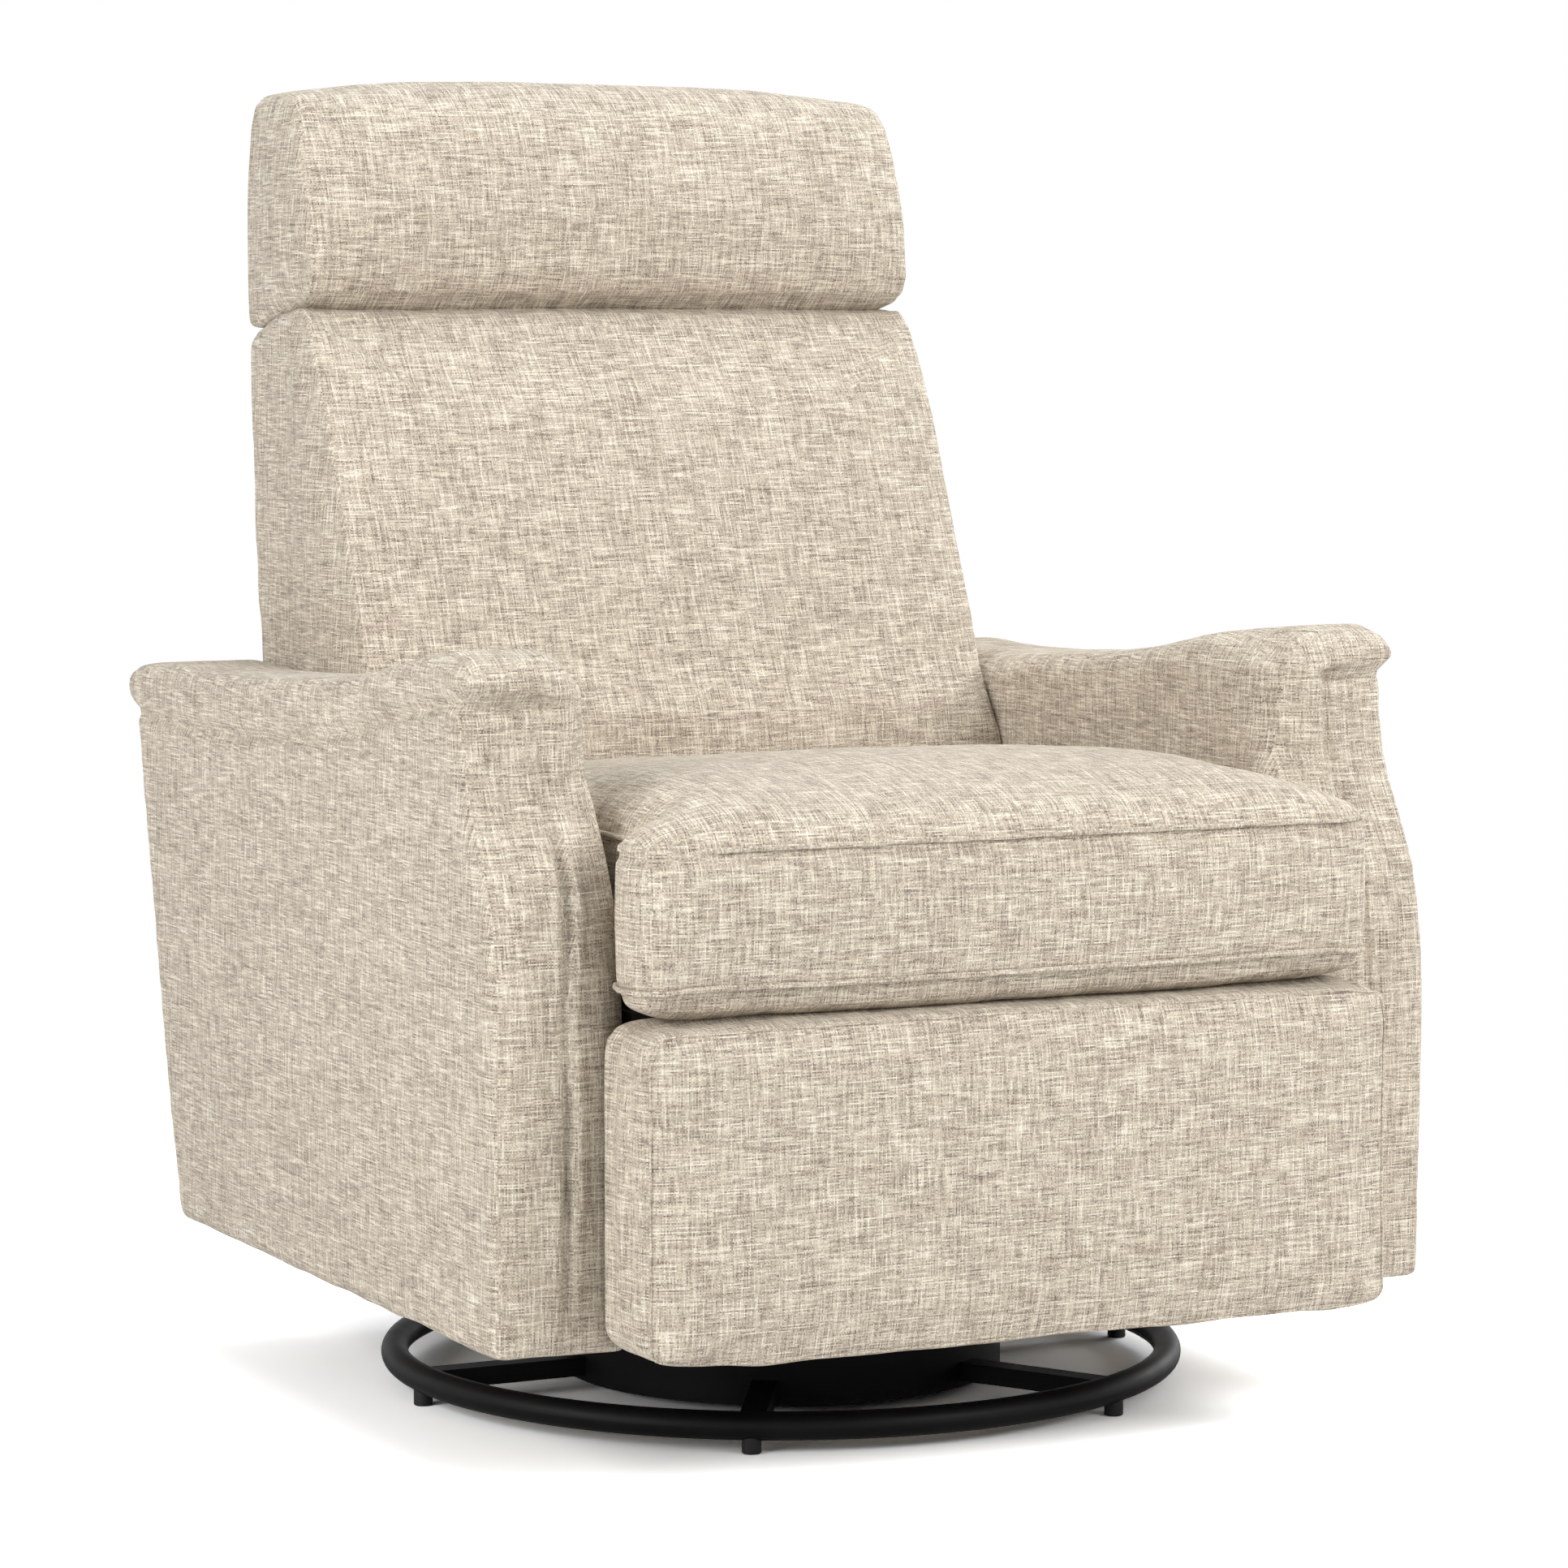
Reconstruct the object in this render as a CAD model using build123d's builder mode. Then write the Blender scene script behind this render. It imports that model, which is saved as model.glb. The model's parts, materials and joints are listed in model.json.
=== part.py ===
"""Swivel glider nursery recliner: ring base, swinging glider carriage, reclining back, headrest and legrest.

Frame: millimetres, +Z up, the chair faces -Y, origin on the floor under the middle of the chair.
"""

from build123d import *
import math
import os

os.makedirs("parts", exist_ok=True)

# ---------------------------------------------------------------- driving dimensions
SWIVEL_Y = -19.0  # the swivel axis stands this far in front of the middle of the chair
SIDES = (-1, 1)

# ring base
FOOT_COUNT = 6
RING_RADIUS = 313.0
RING_TUBE_RADIUS = 11.0
RING_WALL = 2.0
RING_Z = 21.0
FOOT_RADIUS = 7.5
SPOKE_WIDTH = 20.0
SPOKE_BOTTOM_Z = 13.0
SPOKE_TOP_Z = 28.0
DRUM_RADIUS = 178.0
DRUM_WALL = 3.0
DRUM_BOTTOM_Z = 8.0
DRUM_TOP_Z = 78.0
DRUM_EDGE_RADIUS = 6.0
SPOKE_SPARE = 4.0  # length cut off again at the drum and at the ring
FOOT_CHAMFER = 1.0

# swivel bearing
RACE_INNER_RADIUS = 60.0
RACE_OUTER_RADIUS = 90.0
BALL_RADIUS = 4.0
BALL_COUNT = 24
RUNNING_GAP = 0.06  # radial clearance of every running fit
RACE_TOP_GAP = 2.0
SWIVEL_PLATE_Z = 90.0
SWIVEL_PLATE_THICKNESS = 4.0
KING_PIN_RADIUS = 10.0

# glider
LINK_LENGTH = 140.0
LINK_HALF_SPACING = 110.0
LINK_TOP_Z = 262.0
LINK_BOTTOM_Z = LINK_TOP_Z - LINK_LENGTH
LINK_BOSS_RADIUS = 13.0
LINK_TRAVEL_DEG = 25.0
GLIDER_PIN_RADIUS = 5.0
STAND_X = 150.0
STAND_THICKNESS = 4.0
LINK_X = 157.0
LINK_THICKNESS = 4.0
HANGER_X = 166.0
HANGER_THICKNESS = 4.0
BUMPER_RADIUS = 7.0
FRONT_PIVOT_Y = SWIVEL_Y - LINK_HALF_SPACING
REAR_PIVOT_Y = SWIVEL_Y + LINK_HALF_SPACING

# seat mechanism, layer by layer outwards from the middle of the chair
LOWER_CONTROL_X = 200.0
SIDE_PLATE_X = 205.5
UPPER_LINK_X = 211.0
LOWER_LINK_X = 216.5
UPPER_CONTROL_X = 222.0
PLATE = 4.0
TUBE = 22.0
TUBE_BOTTOM_Z = 288.0
FRONT_TUBE_Y = -190.0
REAR_TUBE_Y = 150.0

# legrest linkage, closed, as (y, z)
LEG_PIVOT = (-330.0, 296.0)
CONTROL_PIVOT = (-284.5, 300.0)
UPPER_LINK_LENGTH = 150.0
UPPER_LINK_DEG = -100.0
LOWER_LINK_LENGTH = 125.0
LOWER_LINK_DEG = 67.0
UPPER_CONTROL_LENGTH = 167.8
UPPER_CONTROL_DEG = -92.8
LOWER_CONTROL_LENGTH = 125.5
LOWER_CONTROL_DEG = 65.41
LEG_PIN_RADIUS = 4.0
LEG_BOSS_RADIUS = 11.0
SLACK_HOLE_RADIUS = 8.6  # the guide's open end, whose pin shifts in it

# upholstery
ARM_INNER_X = 281.5
ARM_OUTER_X = 390.0
ARM_PAD_OUTER_X = 398.0
BODY_BOTTOM_Z = 103.0
SEAT_HALF_WIDTH = 278.0
LEG_HALF_WIDTH = 312.0
LEG_FRONT_Y = -445.0
LEG_BACK_Y = -365.0
LEG_BOTTOM_Z = 105.0
LEG_TOP_Z = 347.0
CUSHION_FRONT_Y = -430.0
CUSHION_EAR_Y = -366.0
CUSHION_REAR_Y = 115.0
CUSHION_BOTTOM_Z = 354.0
CUSHION_CROWN_Z = 514.0
BACK_HALF_WIDTH = 278.0
HEAD_HALF_WIDTH = 281.0
RAIL_BOTTOM_Z = 313.0
RAIL_TOP_Z = 348.0
RAIL_THICKNESS = 25.0
RAIL_OUTER_X = 279.0

# recline and headrest hinges, as (y, z)
RECLINE = (335.0, 345.0)
RECLINE_PIN_RADIUS = 6.0
RECLINE_BRACKET_X = 209.5
BACK_BRACKET_X = 215.0
BACK_BRACKET_TOP = (378.0, 480.0)
BACK_BRACKET_RADIUS = 10.0
RECLINE_BOSS_RADIUS = 15.0
BRACKET_THICKNESS = 5.0
STILE_X = 220.0
STILE_WIDTH = 42.0
HEEL_RADIUS = 47.0
HEAD_HINGE = (338.0, 852.0)
HEAD_PIN_RADIUS = 3.0
HEAD_LEAF_X = 66.0
HEAD_LEAF = 4.0
SKIN = 12.0


# ---------------------------------------------------------------- helpers
def layer(side, inner, thickness):
    """Side-view plane (local x = Y, local y = Z) from which a plate is extruded towards +X."""
    return Plane.YZ.offset(inner if side > 0 else -(inner + thickness))


def polar(start, length, degrees):
    """End of a link drawn from start, its angle counted up from straight forward (-Y)."""
    angle = math.radians(degrees)
    return (start[0] - length * math.cos(angle), start[1] + length * math.sin(angle))


def finish(part, name):
    """Names a finished piece and writes it."""
    part.part.label = name
    export_step(part.part, f"parts/{name}.step")


def bar(start, end, radius):
    """Adds a flat link, round at both ends, to the open sketch."""
    middle = ((start[0] + end[0]) / 2, (start[1] + end[1]) / 2)
    run = math.dist(start, end)
    turn = math.degrees(math.atan2(end[1] - start[1], end[0] - start[0]))
    with Locations(Location((middle[0], middle[1], 0), (0, 0, turn))):
        SlotCenterToCenter(run, 2 * radius)


def hole(centre, radius):
    """Cuts a round hole in the open sketch."""
    with Locations(centre):
        Circle(radius, mode=Mode.SUBTRACT)


def outline(*points):
    """Adds a closed straight-sided face to the open sketch."""
    Polygon(*points, align=None)


# ---------------------------------------------------------------- ring base
with BuildPart(Plane.XY.offset(RING_Z)) as base_ring:
    with Locations((0, SWIVEL_Y)):
        Torus(RING_RADIUS, RING_TUBE_RADIUS)
        Torus(RING_RADIUS, RING_TUBE_RADIUS - RING_WALL, mode=Mode.SUBTRACT)
finish(base_ring, "base_ring")

with BuildPart() as base_spokes:
    with BuildSketch(Plane.XY.offset(SPOKE_BOTTOM_Z)):
        with Locations((0, SWIVEL_Y)):
            with PolarLocations((DRUM_RADIUS + RING_RADIUS) / 2, FOOT_COUNT):
                Rectangle(RING_RADIUS - DRUM_RADIUS + SPOKE_SPARE, SPOKE_WIDTH)
            Circle(DRUM_RADIUS, mode=Mode.SUBTRACT)
    extrude(amount=SPOKE_TOP_Z - SPOKE_BOTTOM_Z)
    with Locations((0, SWIVEL_Y, RING_Z)):
        Torus(RING_RADIUS, RING_TUBE_RADIUS, mode=Mode.SUBTRACT)
    with BuildSketch(Plane.XY):
        with Locations((0, SWIVEL_Y)):
            Circle(RING_RADIUS + RING_TUBE_RADIUS)
            Circle(RING_RADIUS, mode=Mode.SUBTRACT)
    extrude(amount=2 * RING_Z, mode=Mode.SUBTRACT)
finish(base_spokes, "base_spokes")

with BuildPart() as base_feet:
    with Locations((0, SWIVEL_Y)):
        with PolarLocations(RING_RADIUS, FOOT_COUNT):
            Cylinder(FOOT_RADIUS, RING_Z, align=(Align.CENTER, Align.CENTER, Align.MIN))
    with Locations((0, SWIVEL_Y, RING_Z)):
        Torus(RING_RADIUS, RING_TUBE_RADIUS, mode=Mode.SUBTRACT)
    chamfer(base_feet.faces().filter_by(Axis.Z).group_by(Axis.Z)[0].edges(), FOOT_CHAMFER)
finish(base_feet, "base_feet")

with BuildPart() as hub_drum:
    with BuildSketch(Plane.XY.offset(DRUM_BOTTOM_Z)):
        with Locations((0, SWIVEL_Y)):
            Circle(DRUM_RADIUS)
    extrude(amount=DRUM_TOP_Z - DRUM_BOTTOM_Z)
    fillet(hub_drum.edges().group_by(Axis.Z)[-1], DRUM_EDGE_RADIUS)
    with BuildSketch(Plane.XY.offset(DRUM_BOTTOM_Z)):
        with Locations((0, SWIVEL_Y)):
            Circle(DRUM_RADIUS - DRUM_WALL)
    extrude(amount=DRUM_TOP_Z - DRUM_BOTTOM_Z - PLATE, mode=Mode.SUBTRACT)
    with Locations((0, SWIVEL_Y, DRUM_TOP_Z)):
        Hole(KING_PIN_RADIUS)
finish(hub_drum, "hub_drum")

# ---------------------------------------------------------------- swivel bearing
BALL_Z = (DRUM_TOP_Z + SWIVEL_PLATE_Z) / 2
RACE_HEIGHT = (SWIVEL_PLATE_Z - DRUM_TOP_Z - RACE_TOP_GAP) / 2
BALL_CIRCLE = (RACE_INNER_RADIUS + RACE_OUTER_RADIUS) / 2
for race_name, race_z in (
    ("bearing_lower_race", DRUM_TOP_Z),
    ("bearing_upper_race", SWIVEL_PLATE_Z - RACE_HEIGHT),
):
    with BuildPart() as race:
        with BuildSketch(Plane.XY.offset(race_z)):
            with Locations((0, SWIVEL_Y)):
                Circle(RACE_OUTER_RADIUS)
                Circle(RACE_INNER_RADIUS, mode=Mode.SUBTRACT)
        extrude(amount=RACE_HEIGHT)
        with Locations((0, SWIVEL_Y, BALL_Z)):
            Torus(BALL_CIRCLE, BALL_RADIUS + RUNNING_GAP, mode=Mode.SUBTRACT)
    finish(race, race_name)

with BuildPart() as bearing_balls:
    with Locations((0, SWIVEL_Y, BALL_Z)):
        with PolarLocations(BALL_CIRCLE, BALL_COUNT):
            Sphere(BALL_RADIUS)
finish(bearing_balls, "bearing_balls")

PIN_HEAD_RADIUS = 18.0
PIN_HEAD_HEIGHT = 8.0
WASHER_THICKNESS = 2.0
NUT_HEIGHT = 12.0
NUT_RADIUS = 17.0
HEXAGON = 6
PIN_STANDOUT = 4.0
PIN_CHAMFER = 1.5
SWIVEL_TOP_Z = SWIVEL_PLATE_Z + SWIVEL_PLATE_THICKNESS
WASHER_Z = SWIVEL_TOP_Z + RUNNING_GAP
NUT_Z = WASHER_Z + WASHER_THICKNESS
with BuildPart() as king_pin:
    with BuildSketch(Plane.XY.offset(DRUM_TOP_Z - PLATE - PIN_HEAD_HEIGHT)):
        with Locations((0, SWIVEL_Y)):
            Circle(PIN_HEAD_RADIUS)
    extrude(amount=PIN_HEAD_HEIGHT)
    with BuildSketch(Plane.XY.offset(DRUM_TOP_Z - PLATE)):
        with Locations((0, SWIVEL_Y)):
            Circle(KING_PIN_RADIUS)
    extrude(amount=NUT_Z + NUT_HEIGHT + PIN_STANDOUT - DRUM_TOP_Z + PLATE)
    chamfer(king_pin.edges().group_by(Axis.Z)[-1], PIN_CHAMFER)
finish(king_pin, "king_pin")

with BuildPart() as king_nut:
    with BuildSketch(Plane.XY.offset(WASHER_Z)):
        with Locations((0, SWIVEL_Y)):
            Circle(PIN_HEAD_RADIUS)
            Circle(KING_PIN_RADIUS, mode=Mode.SUBTRACT)
    extrude(amount=WASHER_THICKNESS)
    with BuildSketch(Plane.XY.offset(NUT_Z)):
        with Locations((0, SWIVEL_Y)):
            RegularPolygon(NUT_RADIUS, HEXAGON)
            Circle(KING_PIN_RADIUS, mode=Mode.SUBTRACT)
    extrude(amount=NUT_HEIGHT)
finish(king_nut, "king_nut")

# ---------------------------------------------------------------- swivel frame of the glider
SWIVEL_PLATE_WIDTH = 328.0
SWIVEL_PLATE_DEPTH = 300.0
SWIVEL_PLATE_CORNER = 24.0
with BuildPart() as swivel_plate:
    with BuildSketch(Plane.XY.offset(SWIVEL_PLATE_Z)):
        with Locations((0, SWIVEL_Y)):
            RectangleRounded(SWIVEL_PLATE_WIDTH, SWIVEL_PLATE_DEPTH, SWIVEL_PLATE_CORNER)
            Circle(KING_PIN_RADIUS + RUNNING_GAP, mode=Mode.SUBTRACT)
    extrude(amount=SWIVEL_PLATE_THICKNESS)
finish(swivel_plate, "swivel_plate")

BUMPER_GAP = 1.0
LINK_REACH = LINK_LENGTH * math.sin(math.radians(LINK_TRAVEL_DEG)) + LINK_BOSS_RADIUS
BUMPER_Y = LINK_HALF_SPACING + LINK_REACH + BUMPER_GAP + BUMPER_RADIUS
BUMPER_Z = LINK_TOP_Z - LINK_LENGTH * math.cos(math.radians(LINK_TRAVEL_DEG))
STAND_FOOT_WIDTH = 30.0
STAND_FOOT_LENGTH = 270.0
STAND_FOOT_THICKNESS = 3.0
STAND_HALF_LENGTH = 140.0
EAR_HALF_HEIGHT = 9.0
EAR_Y = BUMPER_Y + 5.0
BUMPER_LENGTH = 9.0
with BuildPart() as glider_stands:
    for side in SIDES:
        with BuildSketch(layer(side, STAND_X, STAND_THICKNESS)):
            outline(
                (SWIVEL_Y - STAND_HALF_LENGTH, SWIVEL_TOP_Z),
                (SWIVEL_Y + STAND_HALF_LENGTH, SWIVEL_TOP_Z),
                (SWIVEL_Y + EAR_Y, BUMPER_Z - EAR_HALF_HEIGHT),
                (SWIVEL_Y + EAR_Y, BUMPER_Z + EAR_HALF_HEIGHT),
                (REAR_PIVOT_Y + LINK_BOSS_RADIUS, LINK_TOP_Z),
                (FRONT_PIVOT_Y - LINK_BOSS_RADIUS, LINK_TOP_Z),
                (SWIVEL_Y - EAR_Y, BUMPER_Z + EAR_HALF_HEIGHT),
                (SWIVEL_Y - EAR_Y, BUMPER_Z - EAR_HALF_HEIGHT),
            )
            with Locations((FRONT_PIVOT_Y, LINK_TOP_Z), (REAR_PIVOT_Y, LINK_TOP_Z)):
                Circle(LINK_BOSS_RADIUS)
            hole((FRONT_PIVOT_Y, LINK_TOP_Z), GLIDER_PIN_RADIUS)
            hole((REAR_PIVOT_Y, LINK_TOP_Z), GLIDER_PIN_RADIUS)
        extrude(amount=STAND_THICKNESS)
        with BuildSketch(Plane.XY.offset(SWIVEL_TOP_Z)):
            with Locations((side * (STAND_X - STAND_FOOT_WIDTH / 2), SWIVEL_Y)):
                Rectangle(STAND_FOOT_WIDTH, STAND_FOOT_LENGTH)
        extrude(amount=STAND_FOOT_THICKNESS)
finish(glider_stands, "glider_stands")

with BuildPart() as glider_bumpers:
    for side in SIDES:
        with BuildSketch(layer(side, STAND_X + STAND_THICKNESS, BUMPER_LENGTH)):
            with Locations((SWIVEL_Y - BUMPER_Y, BUMPER_Z), (SWIVEL_Y + BUMPER_Y, BUMPER_Z)):
                Circle(BUMPER_RADIUS)
        extrude(amount=BUMPER_LENGTH)
finish(glider_bumpers, "glider_bumpers")

UPPER_PIN_X = 148.0
UPPER_PIN_LENGTH = 14.0
PIN_CAP_RADIUS = 8.0
PIN_CAP_HEIGHT = 3.0
with BuildPart() as glider_upper_pins:
    for side in SIDES:
        with BuildSketch(layer(side, UPPER_PIN_X, UPPER_PIN_LENGTH)):
            with Locations((FRONT_PIVOT_Y, LINK_TOP_Z), (REAR_PIVOT_Y, LINK_TOP_Z)):
                Circle(GLIDER_PIN_RADIUS)
        extrude(amount=UPPER_PIN_LENGTH)
        with BuildSketch(layer(side, UPPER_PIN_X - PIN_CAP_HEIGHT, PIN_CAP_HEIGHT)):
            with Locations((FRONT_PIVOT_Y, LINK_TOP_Z), (REAR_PIVOT_Y, LINK_TOP_Z)):
                Circle(PIN_CAP_RADIUS)
        extrude(amount=PIN_CAP_HEIGHT)
finish(glider_upper_pins, "glider_upper_pins")

for links_name, pivot_y in (
    ("front_swing_links", FRONT_PIVOT_Y),
    ("rear_swing_links", REAR_PIVOT_Y),
):
    with BuildPart() as swing_links:
        for side in SIDES:
            with BuildSketch(layer(side, LINK_X, LINK_THICKNESS)):
                bar((pivot_y, LINK_BOTTOM_Z), (pivot_y, LINK_TOP_Z), LINK_BOSS_RADIUS)
                hole((pivot_y, LINK_TOP_Z), GLIDER_PIN_RADIUS + RUNNING_GAP)
                hole((pivot_y, LINK_BOTTOM_Z), GLIDER_PIN_RADIUS + RUNNING_GAP)
            extrude(amount=LINK_THICKNESS)
    finish(swing_links, links_name)

# ---------------------------------------------------------------- glider carriage
LOWER_PIN_X = 155.5
LOWER_PIN_LENGTH = 16.5
with BuildPart() as glider_lower_pins:
    for side in SIDES:
        with BuildSketch(layer(side, LOWER_PIN_X, LOWER_PIN_LENGTH)):
            with Locations((FRONT_PIVOT_Y, LINK_BOTTOM_Z), (REAR_PIVOT_Y, LINK_BOTTOM_Z)):
                Circle(GLIDER_PIN_RADIUS)
        extrude(amount=LOWER_PIN_LENGTH)
finish(glider_lower_pins, "glider_lower_pins")

HANGER_ARM_HALF_WIDTH = 18.0
HANGER_BAR_TOP_Z = LINK_BOTTOM_Z + 18.0
HANGER_BAR_BOTTOM_Z = LINK_BOTTOM_Z - 14.0
HANGER_WINDOW_INSET = 6.0
HANGER_TOE = 20.0
with BuildPart() as glider_hangers:
    for side in SIDES:
        with BuildSketch(layer(side, HANGER_X, HANGER_THICKNESS)):
            outline(
                (FRONT_TUBE_Y - HANGER_ARM_HALF_WIDTH, TUBE_BOTTOM_Z),
                (FRONT_TUBE_Y + HANGER_ARM_HALF_WIDTH, TUBE_BOTTOM_Z),
                (FRONT_PIVOT_Y + HANGER_WINDOW_INSET, HANGER_BAR_TOP_Z),
                (REAR_PIVOT_Y - HANGER_WINDOW_INSET, HANGER_BAR_TOP_Z),
                (REAR_TUBE_Y - HANGER_ARM_HALF_WIDTH, TUBE_BOTTOM_Z),
                (REAR_TUBE_Y + HANGER_ARM_HALF_WIDTH, TUBE_BOTTOM_Z),
                (REAR_PIVOT_Y + HANGER_TOE, HANGER_BAR_BOTTOM_Z),
                (FRONT_PIVOT_Y - HANGER_TOE, HANGER_BAR_BOTTOM_Z),
            )
            hole((FRONT_PIVOT_Y, LINK_BOTTOM_Z), GLIDER_PIN_RADIUS)
            hole((REAR_PIVOT_Y, LINK_BOTTOM_Z), GLIDER_PIN_RADIUS)
        extrude(amount=HANGER_THICKNESS)
finish(glider_hangers, "glider_hangers")

TUBE_CORNER = 3.0
TUBE_WALL = 2.0
TUBE_BORE = TUBE - 2 * TUBE_WALL
with BuildPart() as cross_tubes:
    with BuildSketch(Plane.YZ.offset(-SIDE_PLATE_X)):
        with Locations(
            (FRONT_TUBE_Y, TUBE_BOTTOM_Z + TUBE / 2),
            (REAR_TUBE_Y, TUBE_BOTTOM_Z + TUBE / 2),
        ):
            RectangleRounded(TUBE, TUBE, TUBE_CORNER)
            RectangleRounded(TUBE_BORE, TUBE_BORE, TUBE_CORNER / 2, mode=Mode.SUBTRACT)
    extrude(amount=2 * SIDE_PLATE_X)
finish(cross_tubes, "cross_tubes")

FLANGE_FRONT_Y = -262.0
REAR_RAIL_Y = 236.0
FLANGE_THICKNESS = 3.0
FLANGE_Z = RAIL_BOTTOM_Z - FLANGE_THICKNESS
PLATE_BOSS_RADIUS = 13.0
PLATE_REAR = ((176.0, 276.0), (256.0, 280.0), (256.0, RAIL_BOTTOM_Z))
PLATE_NECK = ((FLANGE_FRONT_Y, RAIL_BOTTOM_Z), (-282.0, 311.0))
for side, plate_name in ((-1, "side_plate_right"), (1, "side_plate_left")):
    with BuildPart() as side_plate:
        with BuildSketch(layer(side, SIDE_PLATE_X, PLATE)):
            outline(
                (LEG_PIVOT[0], LEG_PIVOT[1] - PLATE_BOSS_RADIUS),
                *PLATE_REAR,
                *PLATE_NECK,
                (LEG_PIVOT[0], LEG_PIVOT[1] + PLATE_BOSS_RADIUS),
            )
            with Locations(LEG_PIVOT):
                Circle(PLATE_BOSS_RADIUS)
            hole(LEG_PIVOT, LEG_PIN_RADIUS)
            hole(CONTROL_PIVOT, LEG_PIN_RADIUS)
        extrude(amount=PLATE)
        flange_x = (SIDE_PLATE_X + PLATE + RAIL_OUTER_X) / 2
        with BuildSketch(Plane.XY.offset(FLANGE_Z)):
            with Locations((side * flange_x, (FLANGE_FRONT_Y + REAR_RAIL_Y) / 2)):
                Rectangle(RAIL_OUTER_X - SIDE_PLATE_X - PLATE, REAR_RAIL_Y - FLANGE_FRONT_Y)
        extrude(amount=FLANGE_THICKNESS)
    finish(side_plate, plate_name)

# ---------------------------------------------------------------- seat frame and springs
FRONT_RAIL_Y = -345.0
RAIL_INNER_X = RAIL_OUTER_X - RAIL_THICKNESS
RAIL_MIDDLE_X = (RAIL_OUTER_X + RAIL_INNER_X) / 2
RAIL_MIDDLE_Y = (FRONT_RAIL_Y + REAR_RAIL_Y) / 2
ARM_BOLT_YS = (-220.0, 160.0)
ARM_BOLT_Z = (RAIL_BOTTOM_Z + RAIL_TOP_Z) / 2
ARM_BOLT_RADIUS = 4.0
with BuildPart() as seat_side_rails:
    with BuildSketch(Plane.XY.offset(RAIL_BOTTOM_Z)):
        with Locations((-RAIL_MIDDLE_X, RAIL_MIDDLE_Y), (RAIL_MIDDLE_X, RAIL_MIDDLE_Y)):
            Rectangle(RAIL_THICKNESS, REAR_RAIL_Y - FRONT_RAIL_Y)
    extrude(amount=RAIL_TOP_Z - RAIL_BOTTOM_Z)
    with BuildSketch(Plane.YZ.offset(-RAIL_OUTER_X)):
        with Locations(*[(bolt_y, ARM_BOLT_Z) for bolt_y in ARM_BOLT_YS]):
            Circle(ARM_BOLT_RADIUS)
    extrude(amount=2 * RAIL_OUTER_X, mode=Mode.SUBTRACT)
finish(seat_side_rails, "seat_side_rails")

FRONT_RAIL_BOTTOM_Z = 318.0  # clears the opened legrest's guide links
with BuildPart() as seat_cross_rails:
    for rail_y, rail_bottom in (
        (FRONT_RAIL_Y + RAIL_THICKNESS / 2, FRONT_RAIL_BOTTOM_Z),
        (REAR_RAIL_Y - RAIL_THICKNESS / 2, RAIL_BOTTOM_Z),
    ):
        with BuildSketch(Plane.XY.offset(rail_bottom)):
            with Locations((0, rail_y)):
                Rectangle(2 * RAIL_INNER_X, RAIL_THICKNESS)
        extrude(amount=RAIL_TOP_Z - rail_bottom)
finish(seat_cross_rails, "seat_cross_rails")

WIRE_RADIUS = 1.8
WIRE_SEAT = 0.4  # height of the springs above the rails
WIRE_Z = RAIL_TOP_Z + WIRE_SEAT + WIRE_RADIUS
SPRING_XS = (-200.0, -100.0, 0.0, 100.0, 200.0)
SPRING_HALF_WIDTH = 22.0
SPRING_START_Y = FRONT_RAIL_Y + RAIL_THICKNESS / 2
SPRING_END_Y = REAR_RAIL_Y - RAIL_THICKNESS / 2
SPRING_LOOPS = 10
SPRING_TAIL = 26.0
SPRING_BEND = 10.0
loop_pitch = (SPRING_END_Y - SPRING_START_Y - 2 * SPRING_TAIL) / SPRING_LOOPS
with BuildPart() as seat_springs:
    for spring_x in SPRING_XS:
        route = [(spring_x, SPRING_START_Y, WIRE_Z)]
        for loop in range(SPRING_LOOPS):
            loop_y = SPRING_START_Y + SPRING_TAIL + loop * loop_pitch
            reach = SPRING_HALF_WIDTH if loop % 2 else -SPRING_HALF_WIDTH
            route.append((spring_x - (reach if loop else 0), loop_y, WIRE_Z))
            route.append((spring_x + reach, loop_y, WIRE_Z))
        loop_y = SPRING_END_Y - SPRING_TAIL
        route.append((spring_x + reach, loop_y, WIRE_Z))
        route.append((spring_x, loop_y, WIRE_Z))
        route.append((spring_x, SPRING_END_Y, WIRE_Z))
        with BuildLine() as wire_route:
            FilletPolyline(*route, radius=SPRING_BEND)
        with BuildSketch(Plane(wire_route.line @ 0, z_dir=wire_route.line % 0)):
            Circle(WIRE_RADIUS)
        sweep(path=wire_route.line)
finish(seat_springs, "seat_springs")

CLIP = 16.0
CLIP_HEIGHT = 5.0
with BuildPart() as spring_clips:
    with BuildSketch(Plane.XY.offset(RAIL_TOP_Z)):
        for spring_x in SPRING_XS:
            with Locations((spring_x, SPRING_START_Y), (spring_x, SPRING_END_Y)):
                Rectangle(CLIP, CLIP)
    extrude(amount=CLIP_HEIGHT)
    with BuildSketch(Plane.XZ.offset(-SPRING_END_Y - CLIP)):
        for spring_x in SPRING_XS:
            with Locations((spring_x, WIRE_Z)):
                Circle(WIRE_RADIUS)
    extrude(amount=SPRING_END_Y - SPRING_START_Y + 2 * CLIP, mode=Mode.SUBTRACT)
finish(spring_clips, "spring_clips")

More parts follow.
